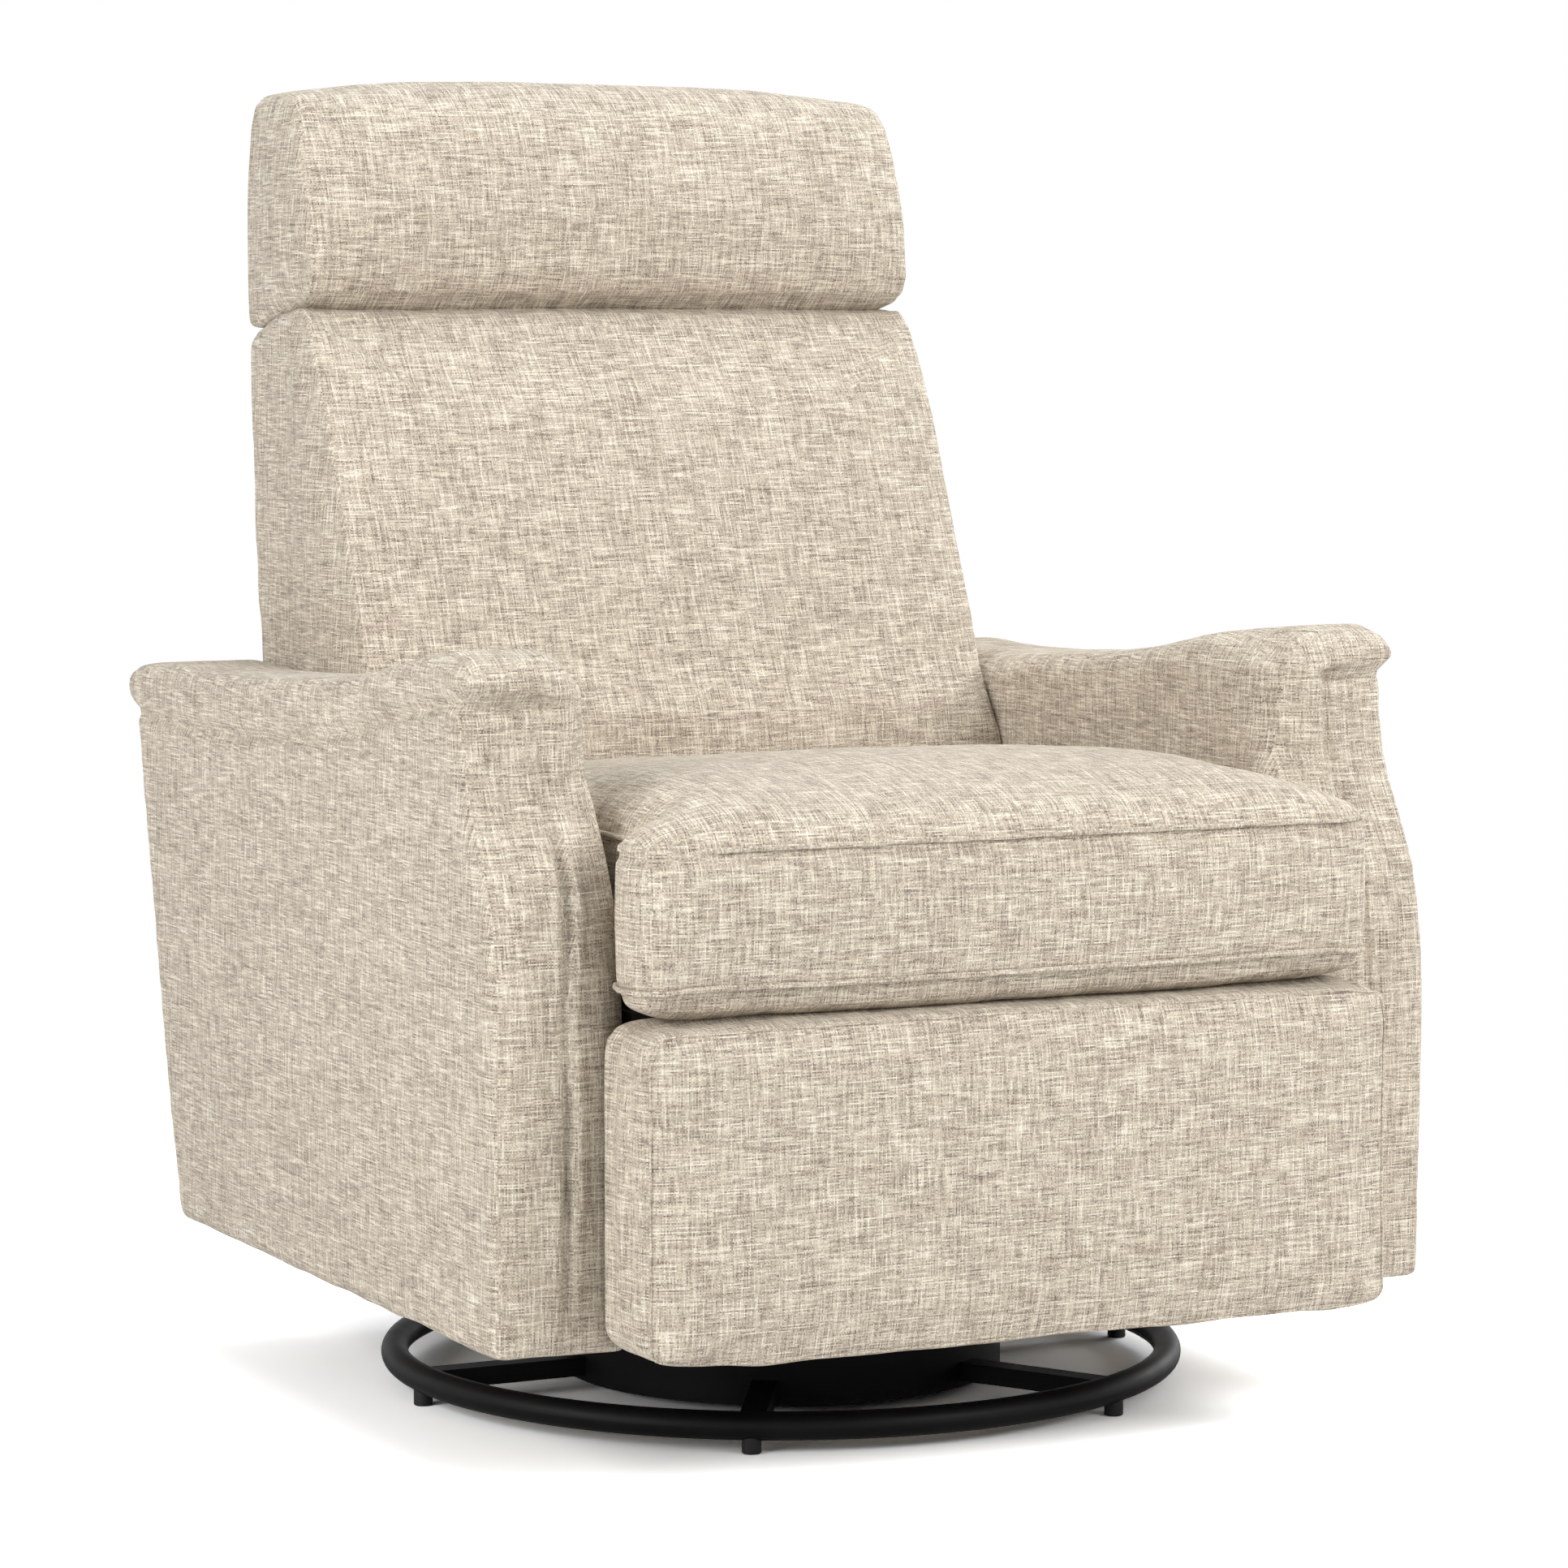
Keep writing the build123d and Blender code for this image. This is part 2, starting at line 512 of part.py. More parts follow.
# ---------------------------------------------------------------- seat cushion
CROWN_Y = -110.0
CROWN_RADIUS_ALONG = 1240.0
CROWN_RADIUS_ACROSS = 2100.0
CUSHION_CORNER_RADIUS = 24.0
with BuildPart() as seat_cushion:
    with BuildSketch(Plane.XY.offset(CUSHION_BOTTOM_Z)):
        with Locations((0, (CUSHION_FRONT_Y + CUSHION_REAR_Y) / 2)):
            Rectangle(2 * SEAT_HALF_WIDTH, CUSHION_REAR_Y - CUSHION_FRONT_Y)
        with Locations((0, (CUSHION_FRONT_Y + CUSHION_EAR_Y) / 2)):
            Rectangle(2 * LEG_HALF_WIDTH, CUSHION_EAR_Y - CUSHION_FRONT_Y)
    extrude(amount=CUSHION_CROWN_Z - CUSHION_BOTTOM_Z)
    fillet(seat_cushion.edges().filter_by(Axis.Z).group_by(Axis.Y)[0], CUSHION_CORNER_RADIUS)
    with BuildSketch(Plane.YZ.offset(-LEG_HALF_WIDTH)):
        with Locations((CROWN_Y, CUSHION_CROWN_Z - CROWN_RADIUS_ALONG)):
            Circle(CROWN_RADIUS_ALONG)
    extrude(amount=2 * LEG_HALF_WIDTH, mode=Mode.INTERSECT)
    with BuildSketch(Plane.XZ.offset(-CUSHION_REAR_Y)):
        with Locations((0, CUSHION_CROWN_Z - CROWN_RADIUS_ACROSS)):
            Circle(CROWN_RADIUS_ACROSS)
    extrude(amount=CUSHION_REAR_Y - CUSHION_FRONT_Y, mode=Mode.INTERSECT)
finish(seat_cushion, "seat_cushion")

# ---------------------------------------------------------------- arms
ARM_TOP = (
    (440.0, 545.0),
    (404.0, 561.0),
    (330.0, 568.0),
    (160.0, 569.0),
    (60.0, 573.0),
    (-32.0, 582.0),
    (-120.0, 595.0),
    (-205.0, 606.0),
    (-268.0, 611.0),
    (-300.0, 604.0),
)
ARM_NOTCH = (
    (-300.0, 577.0),
    (-264.0, 574.0),
    (-163.0, 558.0),
    (-93.0, 544.0),
    (17.0, 531.0),
    (132.0, 523.0),
    (250.0, 519.0),
    (425.0, 521.0),
)
ARM_LIP = (-314.0, 590.0)
ARM_ROLL_END = (446.0, 533.0)
ARM_FRONT = (
    (-363.0, 310.0),
    (-358.0, 380.0),
    (-345.0, 430.0),
    (-322.0, 470.0),
    (-302.0, 505.0),
    (-292.0, 545.0),
    (-291.0, 570.0),
)
ARM_REAR_TOP = (422.0, 516.0)
ARM_REAR_BOTTOM = (322.0, BODY_BOTTOM_Z)
NOTCH_DROP = 1.5
PANEL = 12.0
POCKET_INNER_X = 297.5
POCKET_OUTER_X = 376.0
FRAME_RAIL = 28.0
POCKET = (
    (-336.0, BODY_BOTTOM_Z),
    (-336.0, 395.0),
    (-282.0, 500.0),
    (388.0, 500.0),
    (296.0, BODY_BOTTOM_Z),
)
LEVER_PIVOT = (-165.0, 548.0)
LEVER_PIN_RADIUS = 4.0
LEVER_POCKET_RADIUS = 11.0
LEVER_POCKET_DEPTH = 14.0
for side, side_name in ((-1, "right"), (1, "left")):
    with BuildPart() as arm_pad:
        with BuildSketch(layer(side, ARM_INNER_X, ARM_PAD_OUTER_X - ARM_INNER_X)):
            with BuildLine():
                top_line = Spline(*ARM_TOP)
                ThreePointArc(top_line @ 1, ARM_LIP, ARM_NOTCH[0])
                notch_line = Spline(*ARM_NOTCH)
                ThreePointArc(notch_line @ 1, ARM_ROLL_END, top_line @ 0)
            make_face()
        extrude(amount=ARM_PAD_OUTER_X - ARM_INNER_X)
    finish(arm_pad, f"{side_name}_arm_pad")

    with BuildPart() as arm_cover:
        with BuildSketch(layer(side, ARM_INNER_X, ARM_OUTER_X - ARM_INNER_X)):
            with BuildLine():
                Polyline(ARM_REAR_TOP, ARM_REAR_BOTTOM, (ARM_FRONT[0][0], BODY_BOTTOM_Z), ARM_FRONT[0])
                front_line = Spline(*ARM_FRONT, tangents=((0, 1), (0, 1)))
                under_pad = Spline(*[(y, z - NOTCH_DROP) for y, z in ARM_NOTCH[1:-1]])
                Line(front_line @ 1, under_pad @ 0)
                Line(under_pad @ 1, ARM_REAR_TOP)
            make_face()
        extrude(amount=ARM_OUTER_X - ARM_INNER_X)
        with BuildSketch(layer(side, POCKET_INNER_X, POCKET_OUTER_X - POCKET_INNER_X)):
            outline(*POCKET)
        extrude(amount=POCKET_OUTER_X - POCKET_INNER_X, mode=Mode.SUBTRACT)
        with BuildSketch(layer(side, ARM_INNER_X, POCKET_INNER_X - ARM_INNER_X)):
            with Locations(*[(bolt_y, ARM_BOLT_Z) for bolt_y in ARM_BOLT_YS]):
                Circle(ARM_BOLT_RADIUS)
        extrude(amount=POCKET_INNER_X - ARM_INNER_X, mode=Mode.SUBTRACT)
        if side_name == "right":
            with BuildSketch(layer(side, ARM_INNER_X, LEVER_POCKET_DEPTH)):
                with Locations(LEVER_PIVOT):
                    Circle(LEVER_POCKET_RADIUS)
            extrude(amount=LEVER_POCKET_DEPTH, mode=Mode.SUBTRACT)
    finish(arm_cover, f"{side_name}_arm_cover")

    with BuildPart() as arm_frame:
        for panel_x in (POCKET_INNER_X, POCKET_OUTER_X - PANEL):
            with BuildSketch(layer(side, panel_x, PANEL)):
                outline(*POCKET)
                if panel_x == POCKET_INNER_X:
                    for bolt_y in ARM_BOLT_YS:
                        hole((bolt_y, ARM_BOLT_Z), ARM_BOLT_RADIUS)
            extrude(amount=PANEL)
        post_x = POCKET_INNER_X + PANEL
        post_depth = POCKET_OUTER_X - POCKET_INNER_X - 2 * PANEL
        with BuildSketch(layer(side, post_x, post_depth)):
            outline(*POCKET)
            offset(amount=-FRAME_RAIL, mode=Mode.SUBTRACT, kind=Kind.INTERSECTION)
        extrude(amount=post_depth)
    finish(arm_frame, f"{side_name}_arm_frame")

BOLT_LENGTH = POCKET_INNER_X + PANEL - RAIL_INNER_X
BOLT_HEAD_RADIUS = 8.0
BOLT_HEAD_HEIGHT = 5.0
with BuildPart() as arm_bolts:
    for side in SIDES:
        with BuildSketch(layer(side, RAIL_INNER_X, BOLT_LENGTH)):
            with Locations(*[(bolt_y, ARM_BOLT_Z) for bolt_y in ARM_BOLT_YS]):
                Circle(ARM_BOLT_RADIUS)
        extrude(amount=BOLT_LENGTH)
        with BuildSketch(layer(side, RAIL_INNER_X - BOLT_HEAD_HEIGHT, BOLT_HEAD_HEIGHT)):
            with Locations(*[(bolt_y, ARM_BOLT_Z) for bolt_y in ARM_BOLT_YS]):
                RegularPolygon(BOLT_HEAD_RADIUS, HEXAGON)
        extrude(amount=BOLT_HEAD_HEIGHT)
finish(arm_bolts, "arm_bolts")

# ---------------------------------------------------------------- rear apron
APRON = ((298.0, 104.0), (313.0, 104.0), (361.0, 298.0), (346.0, 292.0))
with BuildPart() as rear_apron:
    with BuildSketch(Plane.YZ.offset(-ARM_INNER_X)):
        outline(*APRON)
    extrude(amount=2 * ARM_INNER_X)
finish(rear_apron, "rear_apron")

# ---------------------------------------------------------------- release lever on the inner right arm
BEZEL = 3.0
BEZEL_LENGTH = 100.0
BEZEL_HEIGHT = 44.0
BEZEL_CORNER = 12.0
BEZEL_CENTRE = (-198.0, 552.0)
LEVER_REACH = 66.0
LEVER_RADIUS = 8.0
LEVER_BOSS_RADIUS = 12.0
LEVER_THICKNESS = 5.0
LEVER_EDGE_RADIUS = 1.5
LEVER_GAP = 0.5
LEVER_X = ARM_INNER_X - BEZEL - LEVER_GAP
LEVER_PIN_LENGTH = 16.0
with BuildPart() as lever_bezel:
    with BuildSketch(layer(-1, ARM_INNER_X - BEZEL, BEZEL)):
        with Locations(BEZEL_CENTRE):
            RectangleRounded(BEZEL_LENGTH, BEZEL_HEIGHT, BEZEL_CORNER)
        hole(LEVER_PIVOT, LEVER_PIN_RADIUS + RUNNING_GAP)
    extrude(amount=BEZEL)
finish(lever_bezel, "lever_bezel")

with BuildPart() as release_lever:
    with BuildSketch(layer(-1, LEVER_X - LEVER_THICKNESS, LEVER_THICKNESS)):
        with Locations(LEVER_PIVOT):
            Circle(LEVER_BOSS_RADIUS)
        bar(LEVER_PIVOT, (LEVER_PIVOT[0] - LEVER_REACH, LEVER_PIVOT[1]), LEVER_RADIUS)
    extrude(amount=LEVER_THICKNESS)
    fillet(release_lever.faces().sort_by(Axis.X)[-1].edges(), LEVER_EDGE_RADIUS)
    with BuildSketch(layer(-1, LEVER_X, LEVER_PIN_LENGTH)):
        with Locations(LEVER_PIVOT):
            Circle(LEVER_PIN_RADIUS)
    extrude(amount=LEVER_PIN_LENGTH)
finish(release_lever, "release_lever")

COIL_WIRE = 0.8
COIL_RADIUS = 7.0
COIL_PITCH = 2.4
COIL_TURNS = 4
COIL_LENGTH = COIL_TURNS * COIL_PITCH
COIL_GAP = 2.0
COIL_START_X = -(ARM_INNER_X + COIL_GAP + COIL_LENGTH)
with BuildPart() as lever_spring:
    with BuildLine() as coil:
        Helix(
            COIL_PITCH,
            COIL_LENGTH,
            COIL_RADIUS,
            center=(COIL_START_X, *LEVER_PIVOT),
            direction=(1, 0, 0),
        )
    with BuildSketch(Plane(coil.line @ 0, z_dir=coil.line % 0)):
        Circle(COIL_WIRE)
    sweep(path=coil.line, is_frenet=True)
finish(lever_spring, "lever_spring")

# ---------------------------------------------------------------- back
CUSHION_REAR = ((329.0, 354.0), (383.0, 846.0))
BACK_TOP_FRONT = (318.0, 856.5)
BACK_TOP_REAR = (430.0, 834.0)
BACK_REAR = ((414.0, 551.0), (437.0, 785.0), (441.0, 826.0))
BACK_FRONT = ((118.0, 354.0), (118.0, 480.0), (252.0, 770.0), (298.0, 833.0))
BACK_EDGE_RADIUS = 10.0
HINGE_POCKET_RADIUS = 14.0
HINGE_POCKET_END = (392.0, 806.0)
LEAF_ZONE_X = 63.0
LEAF_ZONE = 15.0
RECLINE_RELIEF_X = 207.5
RECLINE_RELIEF = 16.0
RECLINE_RELIEF_RADIUS = 20.0
with BuildPart() as back_cushion:
    with BuildSketch(Plane.YZ.offset(-BACK_HALF_WIDTH)):
        outline(*BACK_FRONT, BACK_TOP_FRONT, CUSHION_REAR[1], CUSHION_REAR[0])
    extrude(amount=2 * BACK_HALF_WIDTH)
    fillet(back_cushion.faces().filter_by(Axis.X).edges().group_by(Axis.Y)[0], BACK_EDGE_RADIUS)
    for side in SIDES:
        with BuildSketch(layer(side, LEAF_ZONE_X, LEAF_ZONE)):
            with Locations(HEAD_HINGE):
                Circle(HINGE_POCKET_RADIUS)
            bar(HEAD_HINGE, HINGE_POCKET_END, HINGE_POCKET_RADIUS)
        extrude(amount=LEAF_ZONE, mode=Mode.SUBTRACT)
        with BuildSketch(layer(side, RECLINE_RELIEF_X, RECLINE_RELIEF)):
            with Locations(RECLINE):
                Circle(RECLINE_RELIEF_RADIUS)
        extrude(amount=RECLINE_RELIEF, mode=Mode.SUBTRACT)
finish(back_cushion, "back_cushion")

HEEL_ANGLES = (230.0, 205.0, 180.0)
heel_low, heel_mid, heel_top = [polar(RECLINE, HEEL_RADIUS, angle) for angle in HEEL_ANGLES]
inner_low, inner_mid, inner_top = [polar(RECLINE, HEEL_RADIUS - SKIN, angle) for angle in HEEL_ANGLES]
SHELL_HOLLOW = (
    (320.0, 340.0),
    (370.0, 340.0),
    (402.0, 551.0),
    (425.0, 785.0),
    (427.0, 822.0),
    (370.0, 834.0),
)
with BuildPart() as back_shell:
    with BuildSketch(Plane.YZ.offset(-BACK_HALF_WIDTH)):
        with BuildLine():
            ThreePointArc(heel_low, heel_mid, heel_top)
            Polyline(heel_top, *BACK_REAR, BACK_TOP_REAR, CUSHION_REAR[1])
            Polyline(CUSHION_REAR[1], CUSHION_REAR[0], (inner_top[0], CUSHION_REAR[0][1]), inner_top)
            ThreePointArc(inner_top, inner_mid, inner_low)
            Line(inner_low, heel_low)
        make_face()
    extrude(amount=2 * BACK_HALF_WIDTH)
    with BuildSketch(Plane.YZ.offset(-BACK_HALF_WIDTH + SKIN)):
        outline(*SHELL_HOLLOW)
    extrude(amount=2 * (BACK_HALF_WIDTH - SKIN), mode=Mode.SUBTRACT)
finish(back_shell, "back_shell")

STILE_FRONT = ((332.5, 360.0), (385.0, 830.0))
STILE_REAR = ((425.0, 821.0), (423.0, 785.0), (400.0, 551.0), (368.0, 360.0))
with BuildPart() as back_stiles:
    for side in SIDES:
        with BuildSketch(layer(side, STILE_X, STILE_WIDTH)):
            outline(*STILE_FRONT, *STILE_REAR)
        extrude(amount=STILE_WIDTH)
finish(back_stiles, "back_stiles")

# each rail: middle height, front face, half length
BACK_RAILS = (
    (400.0, 348.0, BACK_BRACKET_X),
    (600.0, 372.0, STILE_X),
    (790.0, 395.0, STILE_X),
)
RAIL_HEIGHT = 50.0
BACK_RAIL_THICKNESS = 20.0
with BuildPart() as back_rails:
    for rail_z, rail_y, half_length in BACK_RAILS:
        with BuildSketch(Plane.YZ.offset(-half_length)):
            with Locations((rail_y + BACK_RAIL_THICKNESS / 2, rail_z)):
                Rectangle(BACK_RAIL_THICKNESS, RAIL_HEIGHT)
        extrude(amount=2 * half_length)
finish(back_rails, "back_rails")

BAND_WIDTH = 50.0
BAND_THICKNESS = 1.5
BAND_HEIGHTS = (45.0, 135.0, 225.0, 315.0, 400.0)
stile_run = STILE_FRONT[1][0] - STILE_FRONT[0][0]
stile_rise = STILE_FRONT[1][1] - STILE_FRONT[0][1]
rake = math.degrees(math.atan2(stile_run, stile_rise))
band_plane = Plane(
    origin=(0, STILE_FRONT[0][0], STILE_FRONT[0][1]),
    x_dir=(1, 0, 0),
    z_dir=(0, -math.cos(math.radians(rake)), math.sin(math.radians(rake))),
)
with BuildPart() as back_webbing:
    with BuildSketch(band_plane):
        with Locations(*[(0, band_z) for band_z in BAND_HEIGHTS]):
            Rectangle(2 * (STILE_X + STILE_WIDTH), BAND_WIDTH)
    extrude(amount=BAND_THICKNESS)
finish(back_webbing, "back_webbing")

with BuildPart() as back_brackets:
    for side in SIDES:
        with BuildSketch(layer(side, BACK_BRACKET_X, BRACKET_THICKNESS)):
            bar(RECLINE, BACK_BRACKET_TOP, BACK_BRACKET_RADIUS)
            with Locations(RECLINE):
                Circle(RECLINE_BOSS_RADIUS)
            hole(RECLINE, RECLINE_PIN_RADIUS + RUNNING_GAP)
        extrude(amount=BRACKET_THICKNESS)
finish(back_brackets, "back_brackets")

BRACKET_HORN = ((347.0, 337.0), (326.0, 358.0), (239.0, 312.0), (239.0, 282.0), (260.0, 282.0))
BRACKET_FOOT = ((176.0, 282.0), (260.0, 282.0), (260.0, 309.5), (176.0, 309.5))
BRACKET_BOSS_RADIUS = 16.0
with BuildPart() as recline_brackets:
    for side in SIDES:
        with BuildSketch(layer(side, RECLINE_BRACKET_X, BRACKET_THICKNESS)):
            outline(*BRACKET_HORN)
            outline(*BRACKET_FOOT)
            with Locations(RECLINE):
                Circle(BRACKET_BOSS_RADIUS)
            hole(RECLINE, RECLINE_PIN_RADIUS)
        extrude(amount=BRACKET_THICKNESS)
finish(recline_brackets, "recline_brackets")

RECLINE_PIN_LENGTH = 12.0
RECLINE_CAP_RADIUS = 10.0
with BuildPart() as recline_pins:
    for side in SIDES:
        with BuildSketch(layer(side, RECLINE_BRACKET_X, RECLINE_PIN_LENGTH)):
            with Locations(RECLINE):
                Circle(RECLINE_PIN_RADIUS)
        extrude(amount=RECLINE_PIN_LENGTH)
        with BuildSketch(layer(side, RECLINE_BRACKET_X - PIN_CAP_HEIGHT, PIN_CAP_HEIGHT)):
            with Locations(RECLINE):
                Circle(RECLINE_CAP_RADIUS)
        extrude(amount=PIN_CAP_HEIGHT)
finish(recline_pins, "recline_pins")

# ---------------------------------------------------------------- headrest
HEAD_SECTION = (
    (318.0, 866.0),
    (293.0, 884.0),
    (305.0, 955.0),
    (326.0, 1028.0),
    (356.0, 1053.0),
    (438.0, 1053.0),
    (445.0, 1040.0),
    (443.0, 840.0),
)
BOARD_FRONT_Y = 392.0
BOARD_THICKNESS = 12.0
BOARD_HALF_WIDTH = 262.0
BOARD_BOTTOM_Z = 872.0
BOARD_TOP_Z = 1035.0
HEAD_TOP_RADIUS = 12.0
LEAF_SLOT = ((326.0, 850.0), (356.0, 840.0), (392.0, 872.0), (392.0, 936.0), (374.0, 936.0))
with BuildPart() as headrest_pad:
    with BuildSketch(Plane.YZ.offset(-HEAD_HALF_WIDTH)):
        outline(*HEAD_SECTION)
    extrude(amount=2 * HEAD_HALF_WIDTH)
    fillet(headrest_pad.edges().filter_by(Axis.X).group_by(Axis.Z)[-1], HEAD_TOP_RADIUS)
    with BuildSketch(Plane.XZ.offset(-BOARD_FRONT_Y - BOARD_THICKNESS)):
        with Locations((0, (BOARD_BOTTOM_Z + BOARD_TOP_Z) / 2)):
            Rectangle(2 * BOARD_HALF_WIDTH, BOARD_TOP_Z - BOARD_BOTTOM_Z)
    extrude(amount=BOARD_THICKNESS, mode=Mode.SUBTRACT)
    for side in SIDES:
        with BuildSketch(layer(side, LEAF_ZONE_X, LEAF_ZONE)):
            with Locations(HEAD_HINGE):
                Circle(HINGE_POCKET_RADIUS)
            outline(*LEAF_SLOT)
        extrude(amount=LEAF_ZONE, mode=Mode.SUBTRACT)
finish(headrest_pad, "headrest_pad")

with BuildPart() as headrest_board:
    with BuildSketch(Plane.XZ.offset(-BOARD_FRONT_Y - BOARD_THICKNESS)):
        with Locations((0, (BOARD_BOTTOM_Z + BOARD_TOP_Z) / 2)):
            Rectangle(2 * BOARD_HALF_WIDTH, BOARD_TOP_Z - BOARD_BOTTOM_Z)
    extrude(amount=BOARD_THICKNESS)
finish(headrest_board, "headrest_board")

LEAF_RADIUS = 11.0
LEAF = ((336.0, 858.0), (350.0, 850.0), (392.0, 888.0), (392.0, 928.0), (384.0, 928.0))
with BuildPart() as headrest_leaves:
    for side in SIDES:
        with BuildSketch(layer(side, HEAD_LEAF_X, HEAD_LEAF)):
            with Locations(HEAD_HINGE):
                Circle(LEAF_RADIUS)
            outline(*LEAF)
            hole(HEAD_HINGE, HEAD_PIN_RADIUS + RUNNING_GAP)
        extrude(amount=HEAD_LEAF)
finish(headrest_leaves, "headrest_leaves")

LEAF_GAP = 0.5
FIXED_LEAF_X = HEAD_LEAF_X + HEAD_LEAF + LEAF_GAP
HINGE_ARM_END = (384.0, 812.0)
HINGE_ARM_TAIL = ((380.0, 815.0), (395.0, 815.0), (395.0, 775.0), (387.0, 775.0), (380.0, 800.0))
with BuildPart() as headrest_hinge_arms:
    for side in SIDES:
        with BuildSketch(layer(side, FIXED_LEAF_X, HEAD_LEAF)):
            bar(HEAD_HINGE, HINGE_ARM_END, LEAF_RADIUS)
            outline(*HINGE_ARM_TAIL)
            hole(HEAD_HINGE, HEAD_PIN_RADIUS)
        extrude(amount=HEAD_LEAF)
finish(headrest_hinge_arms, "headrest_hinge_arms")

HEAD_PIN_X = 65.0
HEAD_PIN_LENGTH = 10.0
with BuildPart() as headrest_pins:
    for side in SIDES:
        with BuildSketch(layer(side, HEAD_PIN_X, HEAD_PIN_LENGTH)):
            with Locations(HEAD_HINGE):
                Circle(HEAD_PIN_RADIUS)
        extrude(amount=HEAD_PIN_LENGTH)
finish(headrest_pins, "headrest_pins")

# ---------------------------------------------------------------- legrest
# offsets of the guide links' pins, along a link and across it
SLOT_PIN_OFFSET = (-22.0, 16.6)
TOE_OFFSET = (23.6, 2.1)
PANEL_PIN_OFFSET = (-2.0, -26.0)
GUIDE_RADIUS = 10.0
LOWER_GUIDE_RADIUS = 9.0
SLACK_EYE_RADIUS = 13.6
LOWER_SLACK_RADIUS = 6.0
PIN_END = 1.0
knee = polar(LEG_PIVOT, UPPER_LINK_LENGTH, UPPER_LINK_DEG)
ankle = polar(knee, LOWER_LINK_LENGTH, LOWER_LINK_DEG)
slot_foot = polar(knee, SLOT_PIN_OFFSET[0], LOWER_LINK_DEG)
slot_pin = polar(slot_foot, SLOT_PIN_OFFSET[1], LOWER_LINK_DEG + 90)
control_end = polar(CONTROL_PIVOT, UPPER_CONTROL_LENGTH, UPPER_CONTROL_DEG)
toe_foot = polar(knee, TOE_OFFSET[0], UPPER_LINK_DEG)
toe = polar(toe_foot, TOE_OFFSET[1], UPPER_LINK_DEG + 90)
toe_end = polar(toe, LOWER_CONTROL_LENGTH, LOWER_CONTROL_DEG)
panel_pin = (ankle[0] + PANEL_PIN_OFFSET[0], ankle[1] + PANEL_PIN_OFFSET[1])
PAD_WRAP = 15.0
LEG_BOARD_MARGIN = 16.0

with BuildPart() as upper_links:
    for side in SIDES:
        with BuildSketch(layer(side, UPPER_LINK_X, PLATE)):
            bar(LEG_PIVOT, knee, LEG_BOSS_RADIUS)
            bar(knee, toe, GUIDE_RADIUS)
            hole(LEG_PIVOT, LEG_PIN_RADIUS + RUNNING_GAP)
            hole(knee, LEG_PIN_RADIUS)
            hole(toe, LEG_PIN_RADIUS)
        extrude(amount=PLATE)
finish(upper_links, "legrest_upper_links")

with BuildPart() as lower_links:
    for side in SIDES:
        with BuildSketch(layer(side, LOWER_LINK_X, PLATE)):
            bar(knee, ankle, LEG_BOSS_RADIUS)
            bar(knee, slot_pin, GUIDE_RADIUS)
            hole(knee, LEG_PIN_RADIUS + RUNNING_GAP)
            hole(slot_pin, LEG_PIN_RADIUS)
            hole(ankle, LEG_PIN_RADIUS + RUNNING_GAP)
        extrude(amount=PLATE)
finish(lower_links, "legrest_lower_links")

with BuildPart() as upper_control_links:
    for side in SIDES:
        with BuildSketch(layer(side, UPPER_CONTROL_X, PLATE)):
            bar(CONTROL_PIVOT, control_end, GUIDE_RADIUS)
            with Locations(control_end):
                Circle(SLACK_EYE_RADIUS)
            hole(CONTROL_PIVOT, LEG_PIN_RADIUS + RUNNING_GAP)
            hole(control_end, SLACK_HOLE_RADIUS)
        extrude(amount=PLATE)
finish(upper_control_links, "legrest_upper_control_links")

with BuildPart() as lower_control_links:
    for side in SIDES:
        with BuildSketch(layer(side, LOWER_CONTROL_X, PLATE)):
            bar(toe, toe_end, LOWER_GUIDE_RADIUS)
            hole(toe, LEG_PIN_RADIUS + RUNNING_GAP)
            hole(toe_end, LOWER_SLACK_RADIUS)
        extrude(amount=PLATE)
finish(lower_control_links, "legrest_lower_control_links")

# each group of pins is held by one link or plate: (centre, inner end, outer end) of each pin
LEG_PINS = {
    "legrest_root_pins": (
        (LEG_PIVOT, SIDE_PLATE_X - PIN_END, UPPER_LINK_X + PLATE + PIN_END),
        (CONTROL_PIVOT, SIDE_PLATE_X - PIN_END, UPPER_CONTROL_X + PLATE + PIN_END),
    ),
    "legrest_knee_pins": (
        (knee, UPPER_LINK_X - PIN_END, LOWER_LINK_X + PLATE + PIN_END),
        (toe, LOWER_CONTROL_X - PIN_END, UPPER_LINK_X + PLATE),
    ),
    "legrest_slot_pins": ((slot_pin, LOWER_LINK_X - PIN_END, UPPER_CONTROL_X + PLATE + PIN_END),),
    "legrest_ankle_pins": (
        (ankle, SIDE_PLATE_X - PIN_END, LOWER_LINK_X + PLATE + PIN_END),
        (panel_pin, LOWER_CONTROL_X - PIN_END, SIDE_PLATE_X + PLATE),
    ),
}
for pins_name, pins in LEG_PINS.items():
    with BuildPart() as leg_pins:
        for side in SIDES:
            for centre, inner_end, outer_end in pins:
                with BuildSketch(layer(side, inner_end, outer_end - inner_end)):
                    with Locations(centre):
                        Circle(LEG_PIN_RADIUS)
                extrude(amount=outer_end - inner_end)
    finish(leg_pins, pins_name)

